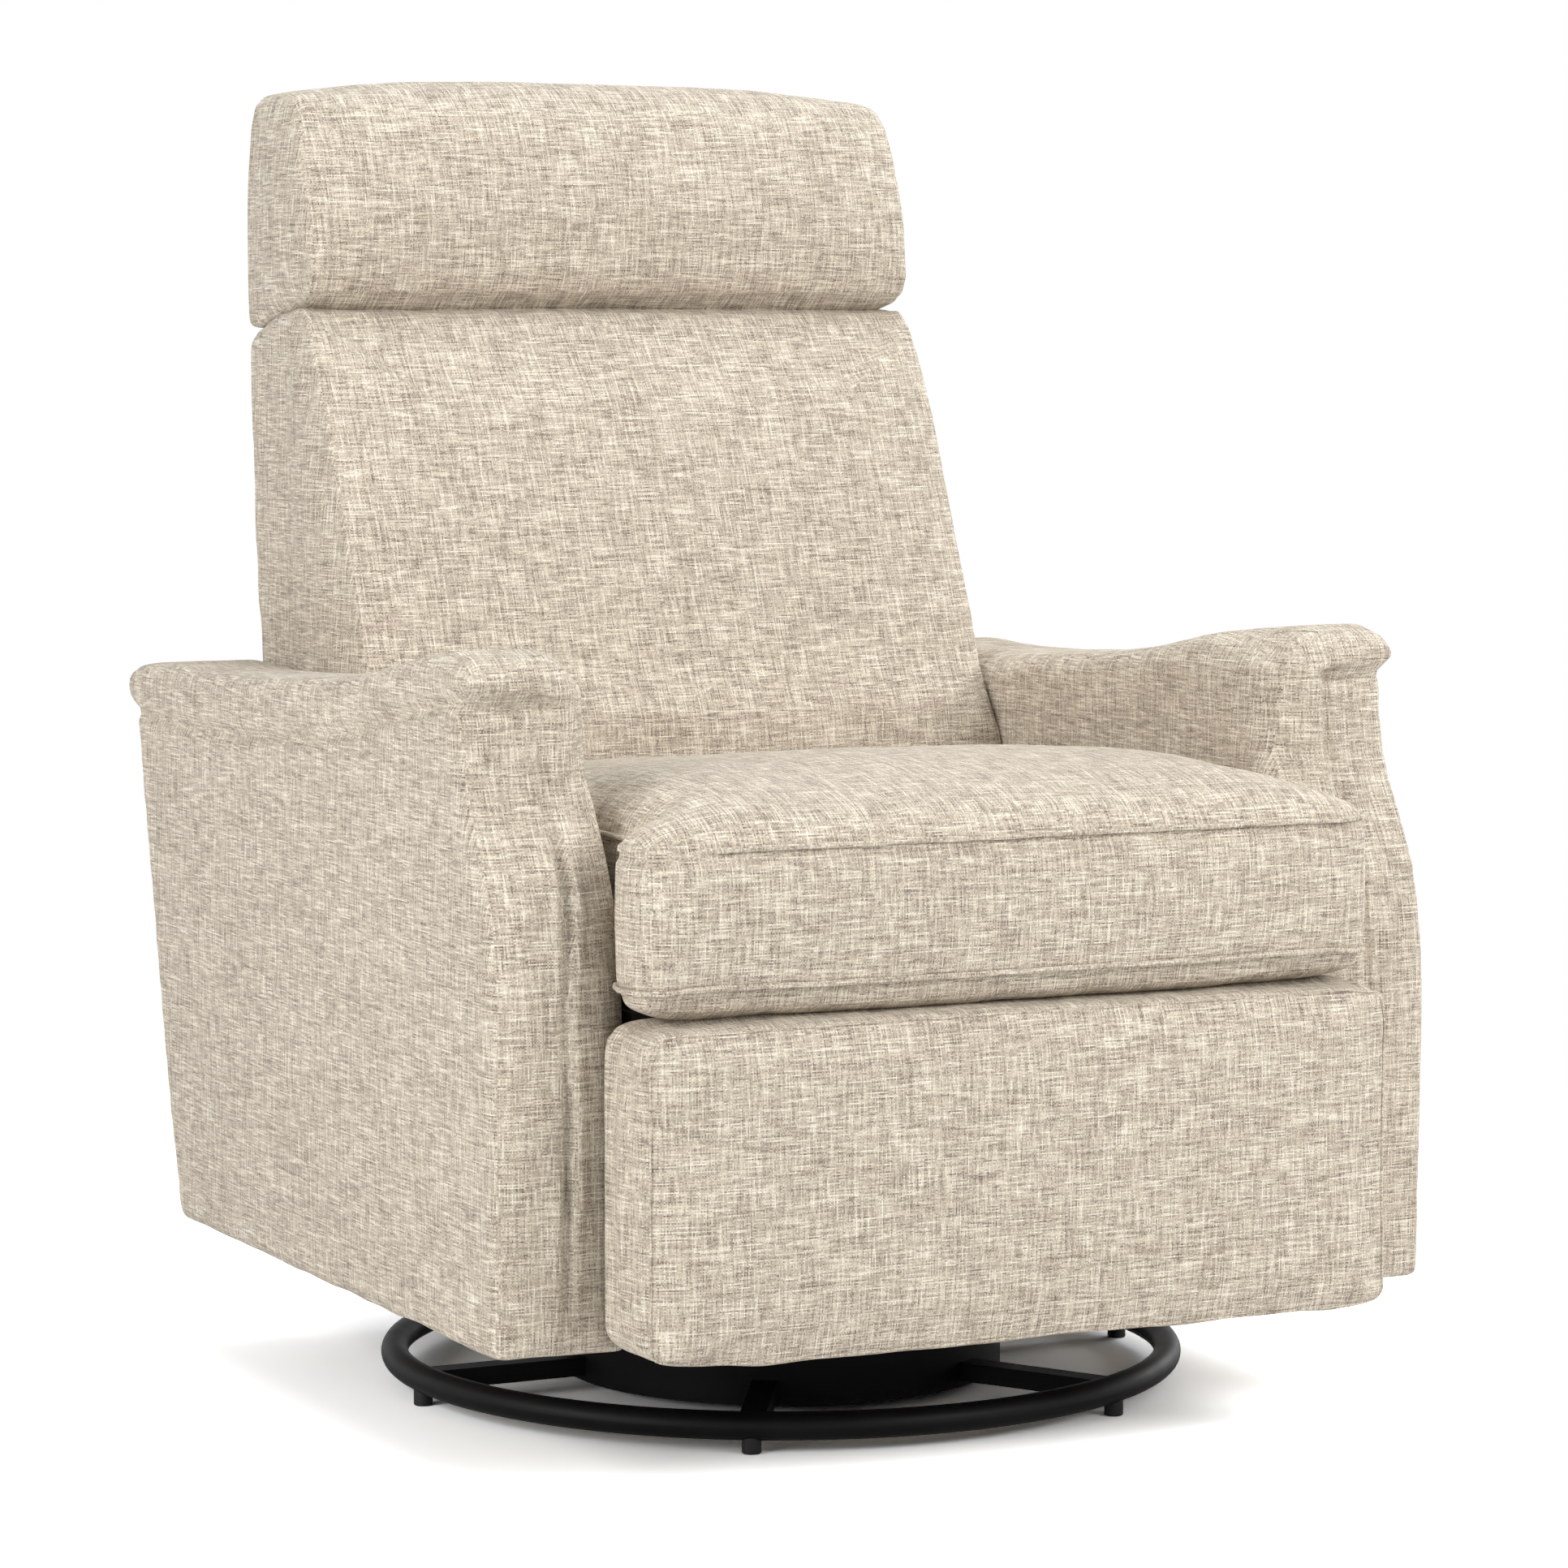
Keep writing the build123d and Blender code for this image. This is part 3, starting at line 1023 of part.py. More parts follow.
BRACKET_BACK_Y = LEG_BACK_Y + 14.0
BRACKET_TOP_Z = 335.0
BRACKET_SOLE_Z = 290.0
BRACKET_SOLE_WIDTH = 30.0
BRACKET_SOLE_THICKNESS = 3.0
with BuildPart() as legrest_brackets:
    for side in SIDES:
        with BuildSketch(layer(side, SIDE_PLATE_X, PLATE)):
            bar(panel_pin, ankle, GUIDE_RADIUS)
            outline(
                (LEG_BACK_Y, panel_pin[1] - GUIDE_RADIUS),
                (LEG_BACK_Y, BRACKET_TOP_Z),
                (BRACKET_BACK_Y, BRACKET_TOP_Z),
                (BRACKET_BACK_Y, panel_pin[1] - GUIDE_RADIUS),
            )
            hole(ankle, LEG_PIN_RADIUS)
            hole(panel_pin, LEG_PIN_RADIUS)
        extrude(amount=PLATE)
        with BuildSketch(layer(side, SIDE_PLATE_X - BRACKET_SOLE_WIDTH, BRACKET_SOLE_WIDTH)):
            with Locations((LEG_BACK_Y, BRACKET_SOLE_Z)):
                Rectangle(
                    BRACKET_SOLE_THICKNESS,
                    BRACKET_TOP_Z - BRACKET_SOLE_Z,
                    align=(Align.MIN, Align.MIN),
                )
        extrude(amount=BRACKET_SOLE_WIDTH)
finish(legrest_brackets, "legrest_brackets")

LEG_CORNER_RADIUS = 22.0
LEG_TOP_RADIUS = 10.0
with BuildPart() as legrest_pad:
    with BuildSketch(Plane.XY.offset(LEG_BOTTOM_Z)):
        with Locations((0, (LEG_FRONT_Y + LEG_BACK_Y) / 2)):
            Rectangle(2 * LEG_HALF_WIDTH, LEG_BACK_Y - LEG_FRONT_Y)
    extrude(amount=LEG_TOP_Z - LEG_BOTTOM_Z)
    fillet(legrest_pad.edges().filter_by(Axis.Z).group_by(Axis.Y)[0], LEG_CORNER_RADIUS)
    fillet(legrest_pad.faces().sort_by(Axis.Z)[-1].edges().group_by(Axis.Y)[0], LEG_TOP_RADIUS)
    with BuildSketch(Plane.XZ.offset(-LEG_BACK_Y)):
        with Locations((0, (LEG_BOTTOM_Z + LEG_TOP_Z) / 2)):
            Rectangle(
                2 * (LEG_HALF_WIDTH - LEG_BOARD_MARGIN),
                LEG_TOP_Z - LEG_BOTTOM_Z - 2 * LEG_BOARD_MARGIN,
            )
    extrude(amount=PAD_WRAP, mode=Mode.SUBTRACT)
finish(legrest_pad, "legrest_pad")

with BuildPart() as legrest_board:
    with BuildSketch(Plane.XZ.offset(-LEG_BACK_Y)):
        with Locations((0, (LEG_BOTTOM_Z + LEG_TOP_Z) / 2)):
            Rectangle(
                2 * (LEG_HALF_WIDTH - LEG_BOARD_MARGIN),
                LEG_TOP_Z - LEG_BOTTOM_Z - 2 * LEG_BOARD_MARGIN,
            )
    extrude(amount=PAD_WRAP)
finish(legrest_board, "legrest_board")
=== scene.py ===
"""Looks for the swivel glider recliner: upholstery, welts, metal finishes, floor, lights and camera.

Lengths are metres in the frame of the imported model: +Z up, the chair faces -Y, +X is the sitter's left.
"""

import json
import logging
import math
from dataclasses import dataclass, field
from enum import Enum
from typing import Callable, Optional, Sequence, Union

import bmesh
import bpy
import numpy as np
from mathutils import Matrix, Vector, noise
from mathutils.bvhtree import BVHTree

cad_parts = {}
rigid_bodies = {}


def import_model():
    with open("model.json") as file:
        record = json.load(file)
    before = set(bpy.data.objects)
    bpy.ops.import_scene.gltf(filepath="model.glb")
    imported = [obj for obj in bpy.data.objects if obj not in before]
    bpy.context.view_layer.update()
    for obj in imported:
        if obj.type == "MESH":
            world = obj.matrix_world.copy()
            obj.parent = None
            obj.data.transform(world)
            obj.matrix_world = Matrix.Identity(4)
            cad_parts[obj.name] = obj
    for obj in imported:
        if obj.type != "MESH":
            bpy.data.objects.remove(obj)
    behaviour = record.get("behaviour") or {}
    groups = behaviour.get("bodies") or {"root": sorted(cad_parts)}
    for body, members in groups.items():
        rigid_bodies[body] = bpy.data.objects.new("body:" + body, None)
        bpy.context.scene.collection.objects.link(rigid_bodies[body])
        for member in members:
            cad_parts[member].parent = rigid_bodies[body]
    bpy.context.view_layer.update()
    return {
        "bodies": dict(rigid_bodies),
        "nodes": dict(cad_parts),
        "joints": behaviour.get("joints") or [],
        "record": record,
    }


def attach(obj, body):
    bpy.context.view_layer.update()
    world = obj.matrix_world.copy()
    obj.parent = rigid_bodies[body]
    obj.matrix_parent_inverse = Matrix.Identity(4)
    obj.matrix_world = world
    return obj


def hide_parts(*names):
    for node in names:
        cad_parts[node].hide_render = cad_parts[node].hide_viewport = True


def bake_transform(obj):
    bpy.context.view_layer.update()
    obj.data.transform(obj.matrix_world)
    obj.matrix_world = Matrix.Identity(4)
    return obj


LOG = logging.getLogger("glider_chair")
WEAVE = "weave"
HANDS = {-1: "right", 1: "left"}
MM = 0.001
SAME = 1e-5  # coordinates closer than this are the same
TINY = 1e-9  # keeps a division from one by nothing
CORNER_SHARE = 0.3  # how far a cut corner's middle stands in, as a share of its radius
BLOWN_FRAMES = 20
BEVEL = {"offset_type": "OFFSET", "affect": "EDGES", "profile": 0.5, "material": -1}

Colour = tuple[float, float, float]
Place = tuple[float, float, float]
Socket = bpy.types.NodeSocket
Value = Union[float, Socket]
Hue = Union[Socket, Colour]
Points = np.ndarray
Line = tuple[tuple[float, float], ...]
Change = Callable[[Points, Points], Points]
Cloth = bpy.types.Material


class Body(Enum):
    """The moving bodies that the upholstery rides on."""

    CARRIAGE = "carriage"
    BACK = "back"
    HEADREST = "headrest"
    LEGREST = "legrest"


class Drawn(Enum):
    """The plane in which a slab's outline is drawn, as the axes of its two numbers and of its depth."""

    SIDE = (1, 2, 0)
    TOP = (0, 1, 2)
    FRONT = (0, 2, 1)


# ---------------------------------------------------------------- helpers for the scene
def adjust(target: object, **values: object) -> None:
    """Sets several attributes of a thing."""
    for name, value in values.items():
        setattr(target, name, value)


def placed(name: str, data: bpy.types.ID) -> bpy.types.Object:
    """Puts a mesh, curve, lamp or camera in the scene."""
    item = bpy.data.objects.new(name, data)
    bpy.context.scene.collection.objects.link(item)
    return item


def meshed(name: str, form: bmesh.types.BMesh) -> bpy.types.Mesh:
    """Turns a form into a mesh and frees it."""
    mesh = bpy.data.meshes.new(name)
    form.to_mesh(mesh)
    form.free()
    return mesh


def read(items: Sequence, attribute: str, width: int = 1, kind: type = np.float32) -> Points:
    """Reads an attribute of all parts of a mesh, as rows where it has a width."""
    values = np.empty(len(items) * width, kind)
    items.foreach_get(attribute, values)
    return values.reshape(-1, width) if width > 1 else values


# ---------------------------------------------------------------- finishes
class Nodes:
    """A node tree being built."""

    def __init__(self, tree: bpy.types.NodeTree) -> None:
        """Starts with an empty tree."""
        self.tree = tree
        tree.nodes.clear()

    def feed(self, socket: Socket, value: Union[Value, Colour]) -> None:
        """Sets a socket's constant, or links another node's output to it."""
        if isinstance(value, bpy.types.NodeSocket):
            self.tree.links.new(value, socket)
        else:
            socket.default_value = (*value, 1.0) if socket.type == "RGBA" else value

    def add(self, kind: str, inputs: dict, output: Union[int, str] = 0, **settings: object) -> Socket:
        """Adds a node.

        Args:
            kind: Blender's name of its type, without the first part.
            inputs: Constants and outputs that its inputs get, by number or name.
            output: Which output is wanted.
            settings: Its other settings.

        Returns:
            The output.
        """
        node = self.tree.nodes.new("ShaderNode" + kind)
        adjust(node, **settings)
        for socket, value in inputs.items():
            self.feed(node.inputs[socket], value)
        return node.outputs[output]


class Shader(Nodes):
    """A material being built, with short calls for the nodes that the finishes share."""

    def __init__(self, name: str) -> None:
        """Starts a material with one Principled shader."""
        self.material = bpy.data.materials.new(name)
        self.material.use_nodes = True
        super().__init__(self.material.node_tree)
        self.output = self.tree.nodes.new("ShaderNodeOutputMaterial")
        self.surface = self.tree.nodes.new("ShaderNodeBsdfPrincipled")
        self.feed(self.output.inputs["Surface"], self.surface.outputs[0])

    def coat(self, colour: Hue, roughness: Value, shine: float = 0.5) -> None:
        """Sets the colour, roughness and specular level of the surface."""
        self.feed(self.surface.inputs["Base Color"], colour)
        self.feed(self.surface.inputs["Roughness"], roughness)
        self.feed(self.surface.inputs["Specular IOR Level"], shine)

    def math(self, operation: str, a: Value, b: Value = 0.0, clamp: bool = False) -> Socket:
        """One Math node with two values; clamped, its result is kept from 0 to 1."""
        return self.add("Math", {0: a, 1: b}, operation=operation, use_clamp=clamp)

    def scaled(self, value: Socket, factor: float, shift: float = 0.0) -> Socket:
        """A value times a factor, plus a shift."""
        return self.add("Math", {0: value, 1: factor, 2: shift}, operation="MULTIPLY_ADD")

    def vector(self, x: Value, y: Value, z: Value = 0.0) -> Socket:
        """Joins three values into a vector."""
        return self.add("CombineXYZ", {0: x, 1: y, 2: z})

    def split(self, vector: Socket) -> tuple[Socket, Socket, Socket]:
        """Splits a vector into its three values."""
        return tuple(self.add("SeparateXYZ", {0: vector}).node.outputs)

    def noise(self, vector: Socket, scale: float = 1.0, detail: float = 2.0, flat: bool = False) -> Socket:
        """Noise, mostly from 0.25 to 0.75, by its cells per unit and octaves, in 2 or 3 dimensions."""
        inputs = {"Vector": vector, "Scale": scale, "Detail": detail}
        return self.add("TexNoise", inputs, noise_dimensions="2D" if flat else "3D")

    def spread(self, value: Socket, low: float, high: float) -> Socket:
        """Maps the range from low to high onto 0 to 1, cut off outside it."""
        return self.add("MapRange", {"Value": value, "From Min": low, "From Max": high})

    def ramp(self, value: Socket, stops: Sequence[tuple[float, Colour]]) -> Socket:
        """A colour ramp with its stops at places from 0 to 1."""
        colour = self.add("ValToRGB", {0: value})
        elements = colour.node.color_ramp.elements
        while len(elements) < len(stops):
            elements.new(0.5)
        for element, (place, shade) in zip(elements, stops):
            adjust(element, position=place, color=(*shade, 1.0))
        return colour

    def mix(self, share: Value, a: Hue, b: Hue) -> Socket:
        """Mixes two colours, b by the given share."""
        return self.add("Mix", {"Factor": share, 6: a, 7: b}, 2, data_type="RGBA")

    def blend_values(self, share: Socket, a: Value, b: Value) -> Socket:
        """Mixes two numbers, b by the given share."""
        return self.add("Mix", {"Factor": share, 2: a, 3: b})

    def relief(self, height: Socket, strength: float, distance: float) -> None:
        """Gives the shader a bump from a height."""
        bump = self.add("Bump", {"Strength": strength, "Distance": distance, "Height": height})
        self.feed(self.surface.inputs["Normal"], bump)

    def place(self) -> Socket:
        """The point on the piece, in metres."""
        return self.add("TexCoord", {}, "Object")

    def cloth_place(self) -> Socket:
        """The point on the cloth, in metres along and across it."""
        return self.add("UVMap", {}, uv_map=WEAVE)


@dataclass(frozen=True)
class Tweed:
    """Plain-woven linen-look upholstery cloth, its yarns spun light and dark by turns with pale slubs."""

    name: str = "oatmeal_tweed"
    pitch: float = 1.1 * MM
    stretch: float = 28 * MM
    slub: float = 26 * MM
    patch: float = 40 * MM
    layer_shares: tuple[float, ...] = (0.40, 0.36, 0.28, 0.18, -0.20, 0.09)
    contrast: float = 0.70
    level: float = -0.129
    # Share of painted shade in the gaps between yarns.
    gap_shade: float = 0.30
    fleck_share: float = 0.6
    fleck_colour: Colour = (0.15, 0.135, 0.14)
    shades: tuple[tuple[float, Colour], ...] = (
        (0.0, (0.185, 0.146, 0.118)),
        (0.25, (0.425, 0.357, 0.285)),
        (0.52, (0.670, 0.582, 0.462)),
        (0.78, (0.870, 0.790, 0.645)),
        (1.0, (0.990, 0.940, 0.820)),
    )

    def material(self) -> bpy.types.Material:
        """Builds the cloth, which reads the weave's own UV map."""
        shader = Shader(self.name)
        along, across, _ = shader.split(shader.cloth_place())
        warp_place = shader.math("DIVIDE", along, self.pitch)
        weft_place = shader.math("DIVIDE", across, self.pitch)
        warp = shader.math("FLOOR", warp_place)
        weft = shader.math("FLOOR", weft_place)
        weft_shade = self.yarn(shader, along, weft, 7.31, self.stretch, (0.22, 0.78))
        warp_shade = self.yarn(shader, across, warp, 5.17, self.stretch, (0.22, 0.78))
        over = shader.math("PINGPONG", shader.math("ADD", warp, weft), 1.0)
        shade = shader.blend_values(shader.scaled(over, 0.6, 0.18), weft_shade, warp_shade)
        crossing = shader.vector(shader.scaled(warp, 0.737, 3.3), shader.scaled(weft, 0.913, 7.7))
        grain = shader.spread(shader.noise(crossing, 1.0, 0.0, flat=True), 0.3, 0.7)
        slubs = self.yarn(shader, along, weft, 2.3, self.slub, (0.56, 0.66))
        upright = self.yarn(shader, across, warp, 2.7, self.slub, (0.57, 0.68))
        bands = self.yarn(shader, across, warp, 0.31, self.slub, (0.54, 0.74))
        dark = self.yarn(shader, along, weft, 3.1, self.slub, (0.56, 0.68))
        dark = shader.math("MULTIPLY", dark, shader.scaled(over, -0.5, 1.0))
        patches = shader.noise(shader.cloth_place(), 1 / self.patch, 1.0, flat=True)
        layers = (grain, slubs, upright, bands, dark, patches)
        for value, share in zip(layers, self.layer_shares):
            shade = shader.math("ADD", shader.scaled(value, share), shade)
        shade = shader.math("ADD", shader.scaled(shade, self.contrast, self.level), 0.0, clamp=True)
        colour = shader.ramp(shade, self.shades)
        fleck = self.yarn(shader, along, weft, 0.77, 0.3 * self.slub, (0.72, 0.80))
        colour = shader.mix(shader.scaled(fleck, self.fleck_share), colour, self.fleck_colour)
        weft_round = self.roundness(shader, weft_place)
        warp_round = self.roundness(shader, warp_place)
        # Painted shade: the colour is pulled towards the darkest yarn shade in the gaps between yarns, where
        # they turn away from the light.
        painted_gap_shade = shader.scaled(shader.math("MULTIPLY", weft_round, warp_round), -self.gap_shade, self.gap_shade)
        shader.coat(shader.mix(painted_gap_shade, colour, self.shades[0][1]), 0.9, 0.2)
        shader.surface.inputs["Sheen Weight"].default_value = 0.1
        shader.surface.inputs["Sheen Roughness"].default_value = 0.55
        shader.relief(shader.blend_values(over, weft_round, warp_round), 0.7, 0.35 * MM)
        return shader.material

    def yarn(
        self, shader: Shader, run: Socket, number: Socket, stride: float, length: float, band: tuple
    ) -> Socket:
        """How a value comes and goes along each of one set of yarns.

        Args:
            shader: The material being built.
            run: Place along the yarns.
            number: Which yarn it is.
            stride: Step between two yarns in the noise: below 1, neighbours are alike.
            length: Usual length of a stretch.
            band: The noise values that become 0 and 1.

        Returns:
            The value from 0 to 1.
        """
        row = shader.scaled(number, stride, 31.7 * stride)
        where = shader.vector(shader.math("DIVIDE", run, length), row)
        return shader.spread(shader.noise(where, 1.0, 1.0, flat=True), *band)

    def roundness(self, shader: Shader, place: Socket) -> Socket:
        """How high the middle of a yarn stands over its edges."""
        return shader.math("SINE", shader.math("MULTIPLY", shader.math("FRACT", place), math.pi))


@dataclass(frozen=True)
class Coating:
    """A plain hard finish with a fine surface grain and uneven gloss."""

    name: str
    colour: Colour
    worn: Colour
    roughness: float
    metal: float = 0.0
    grain: float = 900.0
    depth: float = 0.04 * MM
    shine: float = 0.5
    uneven: float = 0.22

    def material(self) -> bpy.types.Material:
        """Builds the finish, which reads object coordinates."""
        shader = Shader(self.name)
        where = shader.place()
        fine = shader.noise(where, self.grain, 2.0)
        broad = shader.noise(where, self.grain / 40, 3.0)
        colour = shader.mix(shader.spread(broad, 0.35, 0.75), self.colour, self.worn)
        shader.coat(colour, shader.scaled(broad, self.uneven, self.roughness - self.uneven / 2), self.shine)
        shader.surface.inputs["Metallic"].default_value = self.metal
        shader.relief(fine, 0.35, self.depth)
        return shader.material


@dataclass(frozen=True)
class Timber:
    """Raw plywood and hardwood, its grain drawn out along one axis."""

    name: str = "frame_timber"
    pale: Colour = (0.66, 0.49, 0.31)
    dark: Colour = (0.45, 0.30, 0.17)
    cells: Place = (90.0, 9.0, 70.0)

    def material(self) -> bpy.types.Material:
        """Builds the timber, which reads object coordinates."""
        shader = Shader(self.name)
        places = zip(shader.split(shader.place()), self.cells)
        where = shader.vector(*(shader.math("MULTIPLY", place, cells) for place, cells in places))
        grain = shader.noise(where, 1.0, 5.0)
        shader.coat(shader.mix(shader.spread(grain, 0.3, 0.7), self.pale, self.dark), 0.7)
        shader.relief(grain, 0.3, 0.2 * MM)
        return shader.material


@dataclass(frozen=True)
class Webbing:
    """Black elastic webbing with ribs along the band."""

    name: str = "elastic_webbing"
    rib: float = 2.5 * MM
    dark: Colour = (0.02, 0.02, 0.022)
    pale: Colour = (0.07, 0.07, 0.072)

    def material(self) -> bpy.types.Material:
        """Builds the webbing, which reads object coordinates."""
        shader = Shader(self.name)
        _, _, z = shader.split(shader.place())
        ribs = shader.math("PINGPONG", shader.math("DIVIDE", z, self.rib), 1.0)
        shader.coat(shader.mix(ribs, self.dark, self.pale), 0.85)
        shader.relief(ribs, 0.5, 0.4 * MM)
        return shader.material


def finishes() -> dict[str, bpy.types.Material]:
    """Builds every finish.

    Returns:
        The materials by the record's slot names, and by node where one differs from its slot.
    """
    steel = ((0.55, 0.55, 0.56), (0.42, 0.41, 0.38))
    looks = {
        "upholstery": Tweed(),
        "black_steel": Coating("black_powder_coat", grey(0.003), grey(0.006), 0.5, shine=0.14),
        "glide_plastic": Coating("black_glide", grey(0.008), grey(0.015), 0.6, shine=0.3),
        "mechanism_steel": Coating("mechanism_paint", (0.05, 0.05, 0.053), grey(0.09), 0.48),
        "bright_steel": Coating("zinc_plate", *steel, 0.36, 1.0, 500.0, 0.02 * MM),
        "bumper_rubber": Coating("bumper_rubber", grey(0.02), grey(0.035), 0.8),
        "frame_wood": Timber(),
        # The seat's side rails get near-black timber as painted shadow, which keeps the gap under the
        # cushion's front corners dark.
        "seat_side_rails": Timber("rail_darkened_as_gap_shadow", (0.035, 0.027, 0.021), (0.02, 0.015, 0.012)),
        "webbing": Webbing(),
        "lever_plastic": Coating("lever_plastic", grey(0.03), grey(0.045), 0.45, 0.0, 1500.0),
    }
    return {key: look.material() for key, look in looks.items()}


def grey(level: float) -> Colour:
    """A neutral colour."""
    return (level, level, level)


# ---------------------------------------------------------------- shared shapes
def smooth(value: Points, low: float, high: float) -> Points:
    """A soft step: 0 below low, 1 above high."""
    share = np.clip((value - low) / (high - low), 0.0, 1.0)
    return share * share * (3 - 2 * share)


def bell(value: Points, middle: Union[float, Points], width: float) -> Points:
    """A soft ridge of height 1 and the given half width."""
    return np.exp(-(((value - middle) / width) ** 2))


def dome(value: Points, middle: float, half: float, power: float) -> Points:
    """A hump of height 1 that falls to 0 at half its width: the higher the power, the flatter its top."""
    return np.clip(1 - np.abs((value - middle) / half) ** power, 0, 1)


def eased(first: Points, second: Points, radius: Union[float, Points]) -> tuple[Points, Points]:
    """Rounds a square edge between two faces.

    Args:
        first: Depth of each point behind one face.
        second: Depth behind the other face.
        radius: The rounding.

    Returns:
        The two depths after it.
    """
    a, b = radius - first, radius - second
    length = np.hypot(a, b)
    pull = np.where((a > 0) & (b > 0) & (length > radius), radius / np.maximum(length, TINY), 1.0)
    return radius - a * pull, radius - b * pull


def between(value: Points, line: Sequence[tuple[float, float]], upright: bool = True) -> Points:
    """The depths of a line at some heights, or where it isn't upright the heights at some depths."""
    depths, heights = np.array(line).T
    return np.interp(value, heights, depths) if upright else np.interp(value, depths, heights)


def ripple(points: Points, scale: Sequence[float], seed: float) -> Points:
    """Smooth noise from about -1 to 1 at some points, by its cells per metre along each axis and its seed."""
    spots = points * np.array(scale) + seed
    return np.array([noise.noise(Vector(spot)) for spot in spots])


def hollows(points: Points, *waves: tuple[float, float, float]) -> Points:
    """The soft hollows of stuffing: each wave has its height, its cells per metre and its seed."""
    return sum(height * ripple(points, (cells,) * 3, seed) for height, cells, seed in waves)


def box_weave(mesh: bpy.types.Mesh) -> None:
    """Lays the cloth flat on each panel of a piece: the weft runs across fronts, and front to back elsewhere.

    Args:
        mesh: The finished mesh, which gets the weave's UV map.
    """
    layer = mesh.uv_layers.get(WEAVE) or mesh.uv_layers.new(name=WEAVE)
    corners = read(mesh.loops, "vertex_index", kind=np.int32)
    x, y, z = read(mesh.vertices, "co", 3)[corners].T
    facing = np.abs(read(mesh.polygons, "normal", 3) * np.array((1.0, 1.0, 0.93))).argmax(1)
    panel = np.repeat(facing, read(mesh.polygons, "loop_total", kind=np.int32))
    along = np.choose(panel, (y, x, y))
    across = np.choose(panel, (z, z, x))
    layer.data.foreach_set("uv", np.stack((along, across + 2.0 * panel), 1).astype(np.float32).ravel())


def clothe(mesh: bpy.types.Mesh, cloth: Cloth) -> None:
    """Gives a finished mesh its weave and cloth."""
    box_weave(mesh)
    mesh.materials.clear()
    mesh.materials.append(cloth)
    mesh.shade_smooth()


